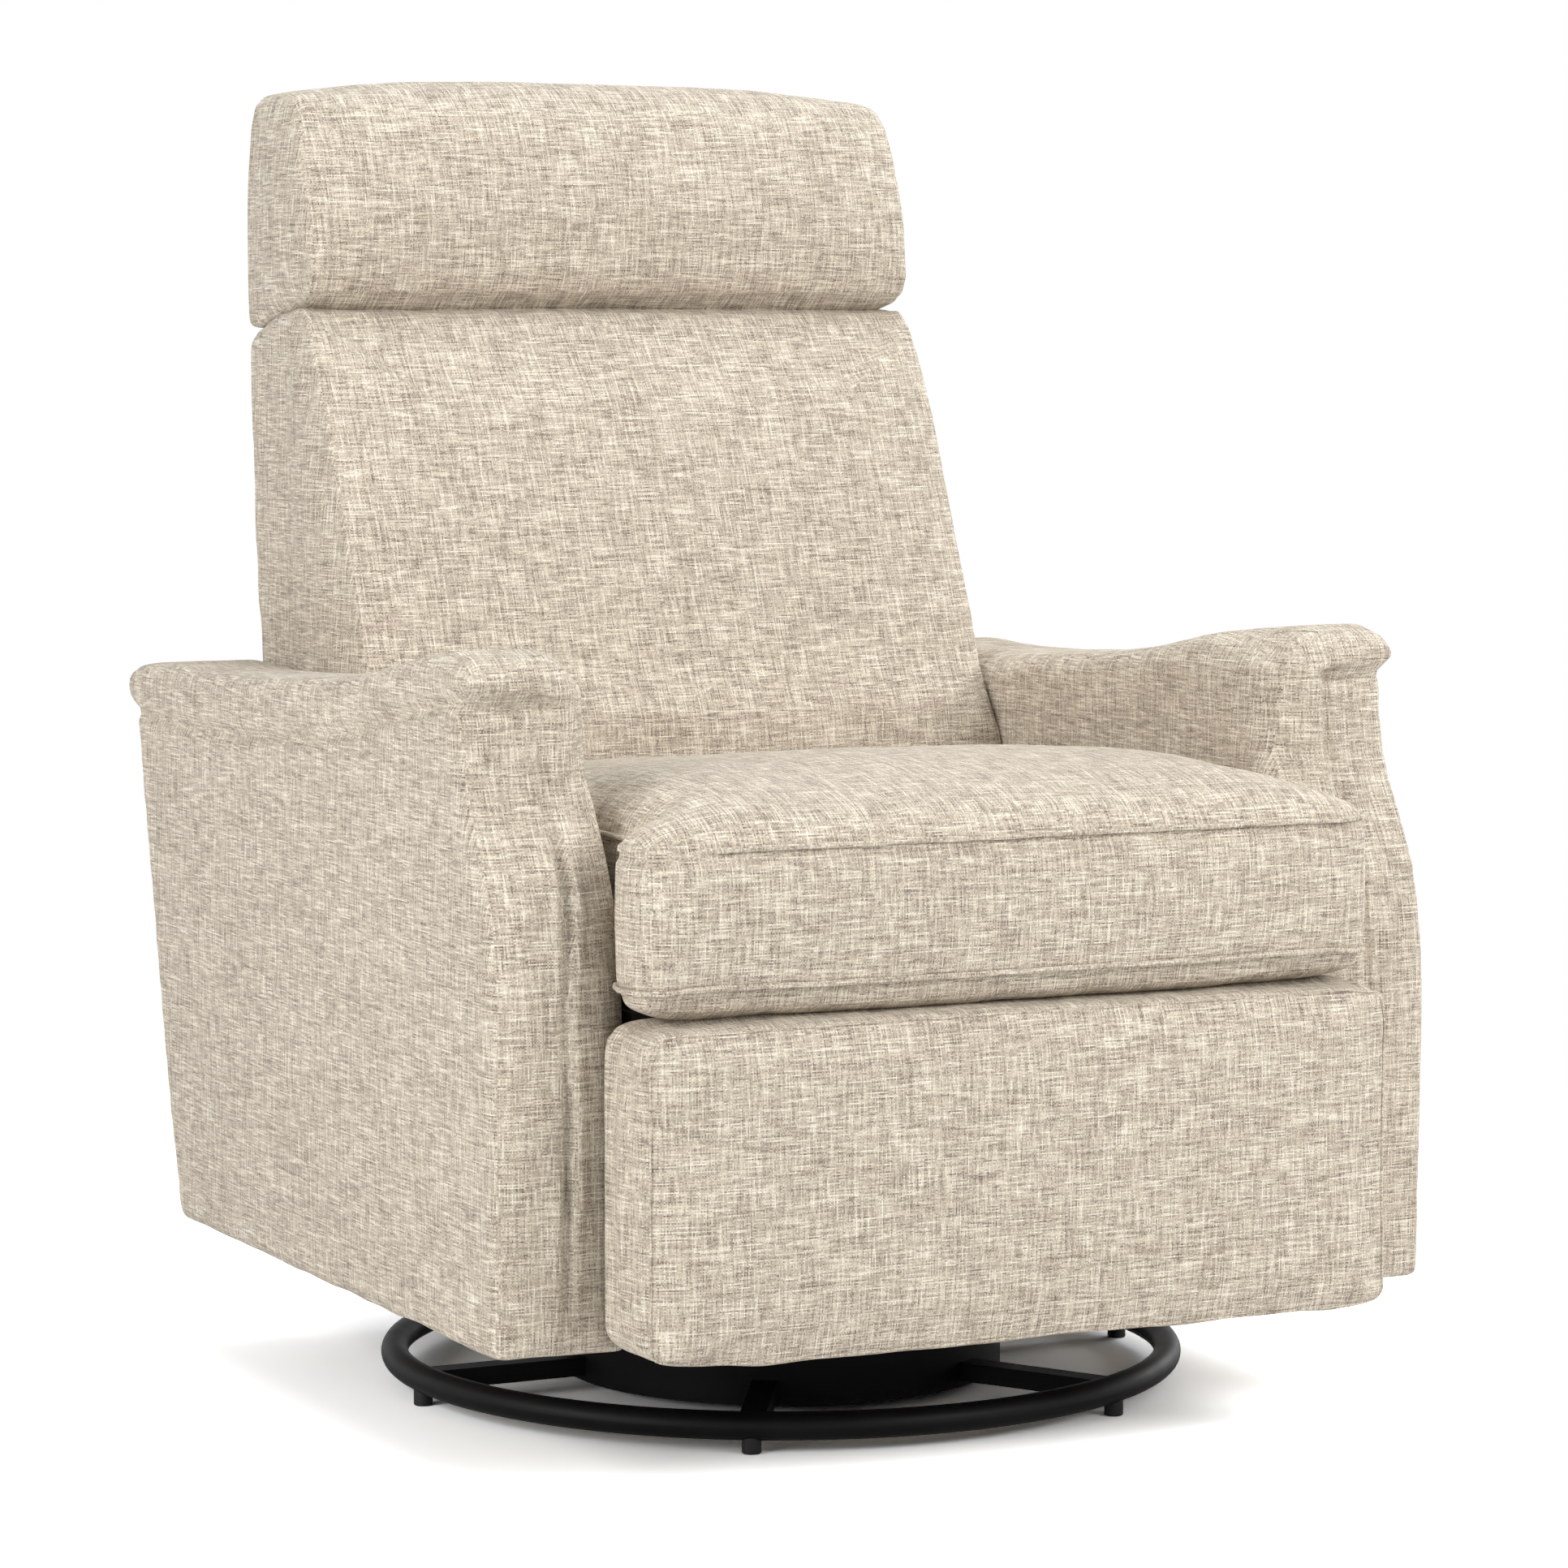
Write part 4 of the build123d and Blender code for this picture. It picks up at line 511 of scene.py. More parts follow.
@dataclass
class Cover:
    """A stuffed cloth piece, made from bevelled slabs that are remeshed, swelled and shaped."""

    name: str
    body: Body
    stands_for: tuple[str, ...]
    fill: float
    voxel: float = 7 * MM
    form: bmesh.types.BMesh = field(default_factory=bmesh.new)
    piece: Optional[bpy.types.Object] = None

    def slab(self, drawn: Drawn, outline: Line, start: float, end: float) -> list:
        """Adds a straight slab to the form.

        Args:
            drawn: The plane of the outline.
            outline: Its corners.
            start: Where the slab starts along its depth.
            end: Where it ends.

        Returns:
            The slab's edges, for rounding.
        """
        first, second, depth = drawn.value
        corners = []
        for a, b in outline:
            corner = Vector()
            corner[first], corner[second], corner[depth] = a, b, start
            corners.append(self.form.verts.new(corner))
        face = self.form.faces.new(corners)
        grown = bmesh.ops.extrude_face_region(self.form, geom=[face], use_keep_orig=True)["geom"]
        far = [item for item in grown if isinstance(item, bmesh.types.BMVert)]
        step = Vector()
        step[depth] = end - start
        bmesh.ops.translate(self.form, verts=far, vec=step)
        shell = {face for vert in corners + far for face in vert.link_faces}
        bmesh.ops.recalc_face_normals(self.form, faces=list(shell))
        return list({edge for face in shell for edge in face.edges})

    def rounded(self, edges: Sequence, pick: Callable[[Vector, Vector], bool], radius: float) -> list:
        """Rounds some of a slab's edges.

        Args:
            edges: The edges to choose from.
            pick: Says of an edge's two ends whether it is rounded.
            radius: The rounding.

        Returns:
            The slab's edges after it.
        """
        chosen = [edge for edge in edges if edge.is_valid and pick(edge.verts[0].co, edge.verts[1].co)]
        faces = {face for edge in edges if edge.is_valid for face in edge.link_faces}
        made = bmesh.ops.bevel(self.form, geom=chosen, offset=radius, segments=6, clamp_overlap=True, **BEVEL)
        kept = {face for face in faces if face.is_valid} | set(made["faces"])
        return list({edge for face in kept for edge in face.edges})

    def cast(self) -> None:
        """Turns the form into an object of even, small faces."""
        self.piece = placed(self.name, meshed(self.name, self.form))
        voxels = self.piece.modifiers.new("voxels", "REMESH")
        adjust(voxels, mode="VOXEL", voxel_size=self.voxel)
        self.settle()
        self.relax(2)

    def settle(self) -> None:
        """Applies the piece's modifiers."""
        graph = bpy.context.evaluated_depsgraph_get()
        old = self.piece.data
        new = bpy.data.meshes.new_from_object(self.piece.evaluated_get(graph))
        self.piece.modifiers.clear()
        self.piece.data = new
        bpy.data.meshes.remove(old)
        new.name = self.name

    def relax(self, times: int) -> None:
        """Smooths the mesh a little."""
        work = bmesh.new()
        work.from_mesh(self.piece.data)
        axes = {"use_axis_x": True, "use_axis_y": True, "use_axis_z": True}
        for _ in range(times):
            bmesh.ops.smooth_vert(work, verts=work.verts, factor=0.5, **axes)
        work.to_mesh(self.piece.data)
        work.free()

    def refine(self) -> None:
        """Adds one smooth subdivision."""
        adjust(self.piece.modifiers.new("finer", "SUBSURF"), levels=1, render_levels=1)
        self.settle()

    def points(self) -> Points:
        """The mesh's points."""
        return read(self.piece.data.vertices, "co", 3).astype(float)

    def shape(self, change: Change) -> None:
        """Moves the points.

        Args:
            change: Gives the new points from the points and their outward directions.
        """
        moved = change(self.points(), read(self.piece.data.vertices, "normal", 3).astype(float))
        self.piece.data.vertices.foreach_set("co", moved.astype(np.float32).ravel())
        self.piece.data.update()

    def swell(self, pressure: float, cap: float, held: Callable[[Points], Points]) -> None:
        """Blows the piece up as cloth, and keeps each point near where it was.

        Args:
            pressure: Air pressure inside.
            cap: The furthest that a point may move.
            held: Says of the points which ones are fixed.
        """
        before = self.points()
        group = self.piece.vertex_groups.new(name="held")
        group.add(np.flatnonzero(held(before)).tolist(), 1.0, "REPLACE")
        cloth = self.piece.modifiers.new("cloth", "CLOTH")
        adjust(cloth.settings, quality=4, mass=0.25, tension_stiffness=12, compression_stiffness=12)
        adjust(cloth.settings, shear_stiffness=4, bending_stiffness=0.4, vertex_group_mass=group.name)
        adjust(cloth.settings, use_pressure=True, uniform_pressure_force=pressure)
        cloth.settings.effector_weights.gravity = 0
        adjust(cloth.collision_settings, use_collision=False, use_self_collision=False)
        adjust(cloth.point_cache, frame_start=1, frame_end=BLOWN_FRAMES)
        scene = bpy.context.scene
        for frame in range(1, BLOWN_FRAMES + 1):
            scene.frame_set(frame)
        blown = self.piece.evaluated_get(bpy.context.evaluated_depsgraph_get())
        step = read(blown.to_mesh().vertices, "co", 3) - before
        blown.to_mesh_clear()
        self.piece.modifiers.clear()
        self.piece.vertex_groups.clear()
        far = np.linalg.norm(step, axis=1, keepdims=True)
        limited = step * (cap * np.tanh(far / cap) / np.maximum(far, TINY))
        LOG.info("%s swelled by up to %.1f mm", self.name, 1000 * far.max())
        self.shape(lambda points, normals: before + limited)
        scene.frame_set(1)

    def stuffed(
        self, cloth: Cloth, crowned: Change, uneven: Change, swelling: tuple, relaxed: int = 0
    ) -> None:
        """Takes the form through every step to the finished piece.

        Args:
            cloth: The cover's material.
            crowned: Shapes the remeshed form.
            uneven: Shapes the finished piece.
            swelling: What swell takes.
            relaxed: How often the crowned form is smoothed.
        """
        self.cast()
        self.shape(crowned)
        if relaxed:
            self.relax(relaxed)
        self.swell(*swelling)
        self.refine()
        self.shape(uneven)
        self.dressed(cloth)

    def dressed(self, cloth: Cloth) -> None:
        """Finishes the piece: cloth and body, and hides the nodes it stands for."""
        clothe(self.piece.data, cloth)
        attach(self.piece, self.body.value)
        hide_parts(*self.stands_for)
        LOG.info("%s: %d faces", self.name, len(self.piece.data.polygons))


@dataclass(frozen=True)
class Welt:
    """A thin sewn ridge that follows a seam of a cover."""

    radius: float = 2.3 * MM
    sunk: float = 0.7 * MM
    step: float = 7 * MM
    fades_at: Optional[Vector] = None
    fade_length: float = 60 * MM

    def height(self, point: Vector) -> float:
        """How far the welt's middle stands out of the cloth at a point."""
        proud = self.radius - self.sunk
        if self.fades_at is None:
            return proud
        share = min(1.0, (point - self.fades_at).length / self.fade_length)
        return proud - 2 * self.radius * (1 - share**3)

    def route(self, corners: list[Vector], closed: bool) -> list[Vector]:
        """Evenly spaced points along straight runs.

        Args:
            corners: The ends of the runs.
            closed: Whether a last run leads back to the start.

        Returns:
            The points.
        """
        ends = corners + (corners[:1] if closed else [])
        points = []
        for start, end in zip(ends, ends[1:]):
            count = max(1, round((end - start).length / self.step))
            points += [start.lerp(end, index / count) for index in range(count)]
        return points if closed else points + ends[-1:]

    def along(self, host: Cover, name: str, corners: list[Vector], closed: bool, cloth: Cloth) -> None:
        """Sews the welt onto a cover.

        Args:
            host: The cover, already shaped.
            name: The welt's name.
            corners: The ends of the straight runs near the seam.
            closed: Whether it runs back to its start.
            cloth: Its material.
        """
        route = self.route(corners, closed)
        work = bmesh.new()
        work.from_mesh(host.piece.data)
        tree = BVHTree.FromBMesh(work)
        curve = bpy.data.curves.new(name, "CURVE")
        adjust(curve, dimensions="3D", bevel_depth=self.radius, bevel_resolution=2, use_fill_caps=not closed)
        spline = curve.splines.new("POLY")
        spline.points.add(len(route) - 1)
        spline.use_cyclic_u = closed
        for place, point in zip(spline.points, route):
            spot, normal, _, _ = tree.find_nearest(point)
            place.co = (*(spot + normal * self.height(spot)), 1.0)
        work.free()
        draft = placed(name, curve)
        mesh = bpy.data.meshes.new_from_object(draft.evaluated_get(bpy.context.evaluated_depsgraph_get()))
        bpy.data.objects.remove(draft)
        piece = placed(name, mesh)
        clothe(mesh, cloth)
        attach(piece, host.body.value)
        LOG.info("%s: %d faces", name, len(mesh.polygons))


def cut_corner(x: float, y: float, inward: float, up: float) -> list[tuple[float, float]]:
    """Three points round a corner, from its upright side to its level one."""
    return [(x, y + up), (x + CORNER_SHARE * inward, y + CORNER_SHARE * up), (x + inward, y)]


def mirrored(left: list[tuple[float, float]]) -> list[tuple[float, float]]:
    """Closes a line with its mirror image."""
    return left + [(-x, other) for x, other in reversed(left)]


# ---------------------------------------------------------------- seat
@dataclass
class SeatCushion:
    """The T-shaped loose seat cushion: two crowned panels sewn to an upright border."""

    front: float = -0.4335
    ear_rear: float = -0.366
    rear: float = 0.1145
    body_half: float = 0.2775
    ear_half: float = 0.312
    lower_seam: float = 0.371
    upper_seam: float = 0.474
    crown: float = 0.040
    belly: float = 0.0245
    border_swell: float = 5.5 * MM
    shoulder: float = 10 * MM
    tuck: float = 2.6 * MM
    front_corner: float = 0.036
    rear_corner: float = 0.027
    cell: float = 8 * MM
    rounds: int = 1500
    fullness: float = 0.4

    def membrane(self) -> tuple[Points, float, float]:
        """The height of a blown-up skin over the T shape, by relaxation on a grid.

        Returns:
            Heights from 0 to 1 by column and row, with the place of the grid's first corner.
        """
        left = -self.ear_half - self.cell
        near = self.front - self.cell
        columns = round(2 * (self.ear_half + self.cell) / self.cell) + 1
        rows = round((self.rear - self.front + 2 * self.cell) / self.cell) + 1
        x = left + self.cell * np.arange(columns)[:, None]
        y = near + self.cell * np.arange(rows)[None, :]
        in_body = (np.abs(x) < self.body_half) & (y > self.front) & (y < self.rear)
        in_ears = (np.abs(x) < self.ear_half) & (y > self.front) & (y < self.ear_rear)
        inside = in_body | in_ears
        height = np.zeros((columns, rows))
        for _ in range(self.rounds):
            around = sum(np.roll(height, step, axis) for axis in (0, 1) for step in (1, -1))
            height = np.where(inside, around / 4 + 1.0, 0.0)
        return (height / height.max()) ** self.fullness, left, near

    def lifted(self, x: Points, y: Points) -> Points:
        """Samples the membrane under each point."""
        height, left, near = self.membrane()
        column = np.clip((x - left) / self.cell, 0, height.shape[0] - 1.001)
        row = np.clip((y - near) / self.cell, 0, height.shape[1] - 1.001)
        i, j = column.astype(int), row.astype(int)
        u, v = column - i, row - j
        low = height[i, j] * (1 - u) + height[i + 1, j] * u
        high = height[i, j + 1] * (1 - u) + height[i + 1, j + 1] * u
        return low * (1 - v) + high * v

    def build(self, cloth: Cloth) -> None:
        """Makes the cushion and its welts."""
        cover = Cover("seat_cushion_cover", Body.CARRIAGE, ("seat_cushion",), 0.75)
        ear, body = self.ear_half, self.body_half
        outline = (
            (-ear, self.front), (ear, self.front), (ear, self.ear_rear), (body, self.ear_rear),
            (body, self.rear), (-body, self.rear), (-body, self.ear_rear), (-ear, self.ear_rear),
        )
        edges = cover.slab(Drawn.TOP, outline, self.lower_seam, self.upper_seam)
        edges = cover.rounded(edges, lambda a, b: self.at_ear(a, b, self.front), self.front_corner)
        cover.rounded(edges, lambda a, b: self.at_ear(a, b, self.ear_rear), self.rear_corner)
        swelling = (3.0, 7 * MM, lambda points: points[:, 1] > self.rear - 0.03)
        cover.stuffed(cloth, self.crowned, self.unevenness, swelling, relaxed=3)
        self.welts(cover, cloth)

    def at_ear(self, a: Vector, b: Vector, depth: float) -> bool:
        """Whether an edge is an upright one of the two ears at a depth."""
        return abs(a.z - b.z) > 0.05 and abs(a.x) > self.body_half + 0.01 and abs(a.y - depth) < SAME

    def crowned(self, points: Points, normals: Points) -> Points:
        """Crowns the two panels and swells the border."""
        x, y, z = points.T
        middle = (self.lower_seam + self.upper_seam) / 2
        half = (self.upper_seam - self.lower_seam) / 2
        lift = self.lifted(x, y)
        height = (z - middle) / half
        above = smooth(height, 0.0, 0.9)
        moved = points.copy()
        moved[:, 2] += self.crown * lift * (1 - 0.46 * smooth(y, -0.26, 0.10)) * above
        moved[:, 2] -= self.belly * (1 - (1 - lift) ** 4) * smooth(-height, 0.0, 0.9)
        shoulders = bell(np.abs(x), 0.24, 0.07) * smooth(-y, 0.10, 0.30)
        moved[:, 2] += self.shoulder * shoulders * above * lift
        level = np.clip(1 - height**2, 0, 1) * self.border_swell
        moved += normals * level[:, None] * np.array((0.25, 1.0, 0.0))
        return moved

    def unevenness(self, points: Points, normals: Points) -> Points:
        """Adds the soft hollows of stuffing, and puckers and a tuck beside the seams."""
        z = points[:, 2]
        soft = hollows(points, (1.6 * MM, 9, 3.1), (0.7 * MM, 24, 8.4))
        beside = bell(z, self.upper_seam + 0.012, 0.014) + bell(z, self.lower_seam - 0.004, 0.014)
        pucker = 0.9 * MM * beside * ripple(points, (75, 75, 12), 5.7)
        outward = np.clip(1 - np.abs(normals[:, 2]), 0, 1)
        tuck = bell(z, self.upper_seam - 0.006, 0.004) + bell(z, self.lower_seam - 0.006, 0.004)
        return points + normals * (soft + pucker - self.tuck * tuck * outward)[:, None]

    def welts(self, cover: Cover, cloth: Cloth) -> None:
        """Sews the two welts round the cushion, the upper one fading at a front corner."""
        ear, body = self.ear_half, self.body_half
        corner = cut_corner(-ear, self.front, self.front_corner, self.front_corner)
        outline = mirrored([(-body, self.rear), (-body, self.ear_rear), (-ear, self.ear_rear), *corner])
        fades_at = Vector((*corner[1], self.upper_seam))
        for name, level, fade in (
            ("seat_upper_welt", self.upper_seam, fades_at),
            ("seat_lower_welt", self.lower_seam, None),
        ):
            corners = [Vector((x, y, level)) for x, y in outline]
            Welt(fades_at=fade).along(cover, name, corners, True, cloth)


# ---------------------------------------------------------------- arms
@dataclass(frozen=True)
class Pull:
    """How the cloth down an arm's front is pulled into folds, by reach from the arm's inner face."""

    line: float
    lean: float
    pinch: float
    ridge: float
    tuck: float
    tucked_from: tuple[float, float]
    fades: bool


PULLS = {
    -1: Pull(0.0485, 0.0095, 7.0 * MM, 4.5 * MM, 4.6 * MM, (0.024, 0.044), fades=True),
    1: Pull(0.055, 0.0, 3.0 * MM, 3.2 * MM, 2.8 * MM, (0.036, 0.062), fades=False),
}


@dataclass
class Arm:
    """One upholstered arm: a firm panel box with a padded roll over its top, outer side and front."""

    side: int
    inner: float = 0.2815
    outer: float = 0.3955
    roll_outer: float = 0.3963
    bottom: float = 0.1015
    lip: float = 0.565
    lip_top: float = 0.600
    hood_top: float = 0.585
    edge_radius: float = 10 * MM
    toe_radius: float = 15 * MM
    panel_corner: float = 6 * MM
    panel_overlap: float = 12 * MM
    front_line: Line = (
        (-0.359, 0.1015), (-0.362, 0.310), (-0.358, 0.380), (-0.348, 0.428), (-0.333, 0.458), (-0.315, 0.487),
        (-0.303, 0.515), (-0.2985, 0.545), (-0.297, 0.572),
    )
    hood_line: Line = ((-0.303, 0.515), (-0.3055, 0.545), (-0.3095, 0.566), (-0.313, 0.582))
    rear_line: Line = (
        (0.422, 0.518), (0.413, 0.486), (0.395, 0.402), (0.370, 0.284), (0.346, 0.183), (0.3225, 0.1015),
    )
    roll_top: Line = (
        (0.442, 0.539), (0.4395, 0.550), (0.428, 0.558), (0.400, 0.562), (0.340, 0.566), (0.250, 0.564),
        (0.160, 0.5655), (0.079, 0.5705), (-0.032, 0.5775), (-0.103, 0.5855), (-0.150, 0.5935),
        (-0.205, 0.603), (-0.245, 0.6082), (-0.273, 0.6112), (-0.297, 0.6065), (-0.311, 0.597),
    )
    roll_under: Line = (
        (-0.3135, 0.587), (-0.308, 0.579), (-0.297, 0.577), (-0.264, 0.574), (-0.163, 0.558), (-0.093, 0.543),
        (0.017, 0.529), (0.132, 0.521), (0.250, 0.518), (0.400, 0.5205), (0.4385, 0.527),
    )

    def build(self, cloth: Cloth) -> None:
        """Makes the arm's cover."""
        hand = HANDS[self.side]
        nodes = (f"{hand}_arm_cover", f"{hand}_arm_pad")
        cover = Cover(f"{hand}_arm_upholstery", Body.CARRIAGE, nodes, 0.95, voxel=6.5 * MM)
        inner, outer = self.side * self.inner, self.side * self.outer
        under = tuple((y, z + self.panel_overlap) for y, z in self.roll_under[3:-1])
        edges = cover.slab(Drawn.SIDE, self.front_line + under + self.rear_line, inner, outer)

        def on_front(a: Vector, b: Vector) -> bool:
            """Whether an edge runs up the outer front corner."""
            outside = abs(a.x - outer) + abs(b.x - outer) < SAME
            return outside and max(a.y, b.y) < -0.29 and max(a.z, b.z) < 0.575

        cover.rounded(edges, on_front, self.panel_corner)
        cover.slab(Drawn.SIDE, self.roll_top + self.roll_under, inner, self.side * self.roll_outer)
        cover.cast()
        cover.refine()
        cover.shape(self.padded_edges)
        cover.relax(2)
        cover.shape(self.tailored)
        cover.dressed(cloth)

    def front_at(self, height: Points) -> Points:
        """Where the front face and the roll's lip stand at each height."""
        return between(height, self.front_line + self.roll_under[:3][::-1] + self.roll_top[-3:][::-1])

    def top_at(self, depth: Points) -> Points:
        """How high the roll's top is at each place from front to rear."""
        return between(depth, self.roll_top[::-1], upright=False)

    def padded_edges(self, points: Points, normals: Points) -> Points:
        """Rounds the arm's edges, most of all the inner front corner under the hand."""
        x, y, z = points.T
        width = self.roll_outer - self.inner
        reach = np.abs(x) - self.inner
        front = self.front_at(np.minimum(z, self.lip_top))
        hooded = np.where(z < self.hood_top, np.minimum(front, between(z, self.hood_line)), front) - front
        hooded *= (1 - smooth(reach, 0.030, 0.064)) * (1 - smooth(y - front, 0.015, 0.07))
        front = front + hooded
        behind = y + hooded - front
        before = self.top_at(y)
        corner = 30 * MM + 8 * MM * bell(z, 0.40, 0.09) + 24 * MM * smooth(z, 0.48, 0.555)
        corner = corner + 8 * MM * smooth(z, 0.55, 0.575) + 44 * MM * smooth(z, 0.576, 0.598)
        reach, behind = eased(reach, behind, corner)
        y = front + behind
        crown = 20 * MM + 34 * MM * smooth(-y, 0.17, 0.28) + 20 * MM * smooth(y, 0.08, 0.22)
        reach, below = eased(reach, before - z, crown)
        spare, below = eased(width - reach, below, 13 * MM + 5 * MM * smooth(-y, 0.22, 0.29))
        carried = (self.top_at(y) - before) * smooth(z, self.lip, self.lip + 0.030)
        z = np.where(z > 0.50, before - below + carried, z)
        in_roll = z > self.lip
        spare, behind = eased(spare, np.where(in_roll, y - front, 1.0), self.edge_radius)
        y = np.where(in_roll, front + behind, y)
        reach = width - spare
        low_reach, low = eased(reach, z - self.bottom, self.toe_radius)
        at_toe = smooth(-y, 0.32, 0.35)
        reach = reach + (low_reach - reach) * at_toe
        z = z + (self.bottom + low - z) * at_toe
        return np.stack((self.side * (self.inner + reach), y, z), 1)

    def tailored(self, points: Points, normals: Points) -> Points:
        """Adds the crease under the roll, the front's swell and pulled folds, and the unevenness of cloth."""
        x, y, z = points.T
        moved = points.copy()
        reach = np.abs(x) - self.inner
        outside = smooth(normals[:, 0] * self.side, 0.2, 0.8)
        above = z - between(y, self.roll_under[2:], upright=False)
        inset = 0.8 * MM * (1 - smooth(above, -0.004, 0.006)) * smooth(z, 0.30, 0.50)
        inset += 4.6 * MM * bell(above, -0.002, 0.0052) - 0.8 * MM * bell(above, 0.018, 0.012)
        moved[:, 0] -= self.side * outside * inset
        frontal = smooth(-normals[:, 1], 0.25, 0.8) * smooth(-y, 0.25, 0.29)
        moved[:, 1] -= frontal * 3 * MM * dome(reach, 0.054, 0.054, 2)
        moved[:, 1] += self.folds(reach, z) * frontal
        pull = PULLS[self.side]
        unpulled = frontal * smooth(reach, *pull.tucked_from)
        tuck = pull.tuck * (1 + 0.5 * ripple(points, (40, 0, 0), 2.2))
        moved[:, 1] += unpulled * tuck * bell(z, 0.568 + 0.06 * (0.08 - reach), 0.0055)
        moved[:, 1] += unpulled * 1.2 * MM * bell(z, 0.549 + 0.08 * (0.08 - reach), 0.006)
        hem = bell(z, self.bottom, 0.012)
        moved[:, 2] += 1.5 * MM * hem * ripple(points, (22, 22, 0), 6.0 + self.side)
        pulls = ripple(points, (10, 26, 9), 4.0 + self.side) * bell(z, 0.50, 0.06)
        soft = hollows(points, (1.1 * MM, 7, 9.0 + self.side), (0.35 * MM, 34, 1.0 + self.side))
        moved += normals * (soft + 0.9 * MM * pulls * outside)[:, None]
        return moved

    def folds(self, reach: Points, height: Points) -> Points:
        """How far the pulled folds set the front cloth back.

        Args:
            reach: Distance from the arm's inner face.
            height: Height above the floor.

        Returns:
            Depth, in metres, for each point.
        """
        pull = PULLS[self.side]
        line = pull.line + pull.lean * smooth(0.45 - height, 0.0, 0.10)
        line += 1.2 * MM * np.sin(17 * height + 1.0) + 0.8 * MM * np.sin(43 * height)
        strength = smooth(height, 0.11, 0.15) * (1 - smooth(height, 0.568, 0.59))
        if pull.fades:
            strength *= (1 - 0.6 * smooth(height, 0.45, 0.50)) * (0.75 + 0.25 * np.sin(29 * height + 0.6))
        depth = pull.pinch * bell(reach, line, 0.0034)
        depth -= pull.ridge * (bell(reach, line + 0.0085, 0.0045) + bell(reach, line - 0.0085, 0.0055))
        second = smooth(height, 0.20, 0.25) * (1 - smooth(height, 0.36, 0.42))
        depth += 5.0 * MM * second * bell(reach, line + 0.0105 + 0.002 * np.sin(21 * height), 0.0034)
        notch = bell(height, 0.318, 0.0035) * bell(reach, line + 0.004, 0.008)
        return depth * strength + 1.6 * MM * notch


# ---------------------------------------------------------------- back and headrest
@dataclass
class Back:
    """The reclining back: crowned front panel, side panels, and a plain outside back."""

    half: float = 0.2825
    crown: float = 13 * MM
    seam_inset: float = 4 * MM
    edge_radius: float = 10 * MM
    outline: Line = (
        (0.119, 0.357), (0.119, 0.470), (0.127, 0.500), (0.162, 0.556), (0.197, 0.640), (0.252, 0.770),
        (0.281, 0.822), (0.297, 0.848), (0.315, 0.8625), (0.383, 0.8535), (0.428, 0.839), (0.4405, 0.828),
        (0.437, 0.785), (0.426, 0.645), (0.414, 0.551), (0.382, 0.345), (0.378, 0.325), (0.366, 0.309),
        (0.3576, 0.3181), (0.367, 0.330), (0.3700, 0.345), (0.357, 0.376), (0.312, 0.376), (0.308, 0.357),
    )
    rear_seam: Line = ((0.388, 0.39), (0.414, 0.551), (0.437, 0.785), (0.440, 0.820))

    def build(self, cloth: Cloth) -> None:
        """Makes the back's cover and its outside seams."""
        cover = Cover("back_upholstery", Body.BACK, ("back_cushion", "back_shell"), 0.85)
        cover.slab(Drawn.SIDE, self.outline, -self.half, self.half)
        swelling = (3.0, 5 * MM, lambda points: (points[:, 1] > 0.33) | (points[:, 2] < 0.40))
        cover.stuffed(cloth, self.crowned, self.unevenness, swelling)
        for side, hand in HANDS.items():
            x = side * (self.half - self.seam_inset)
            corners = [Vector((x, y, z)) for y, z in self.rear_seam]
            Welt(1.6 * MM, step=8 * MM).along(cover, f"back_outside_welt_{hand}", corners, False, cloth)

    def crowned(self, points: Points, normals: Points) -> Points:
        """Rounds the side edges, crowns the front panel and eases the sides out a little."""
        x, y, z = points.T
        front = between(z, self.outline[:9])
        spare, behind = eased(self.half - np.abs(x), y - front, self.edge_radius)
        moved = np.stack((np.sign(x) * (self.half - spare), front + behind, z), 1)
        x, y, z = moved.T
        facing = smooth(-normals[:, 1], 0.1, 0.7)
        forward = facing * self.crown * dome(x, 0.0, self.half, 2.6) * dome(z, 0.640, 0.245, 3.0)
        moved[:, 1] -= forward * 0.92
        moved[:, 2] += forward * 0.38
        flank = smooth(np.abs(normals[:, 0]), 0.5, 0.95)
        moved[:, 0] += np.sign(x) * flank * 2.5 * MM * dome(z, 0.66, 0.2, 2)
        return moved

    def unevenness(self, points: Points, normals: Points) -> Points:
        """Adds the soft hollows of stuffing, and firms the upper side edges."""
        soft = hollows(points, (1.5 * MM, 7, 12.3), (0.6 * MM, 22, 15.4))
        moved = points + normals * soft[:, None]
        x, y, z = points.T
        firm = smooth(np.abs(x), 0.20, 0.265) * (1 - smooth(y, 0.26, 0.36))
        moved[:, 0] += np.sign(x) * firm * (4 * MM + 4 * MM * smooth(z, 0.76, 0.84))
        return moved


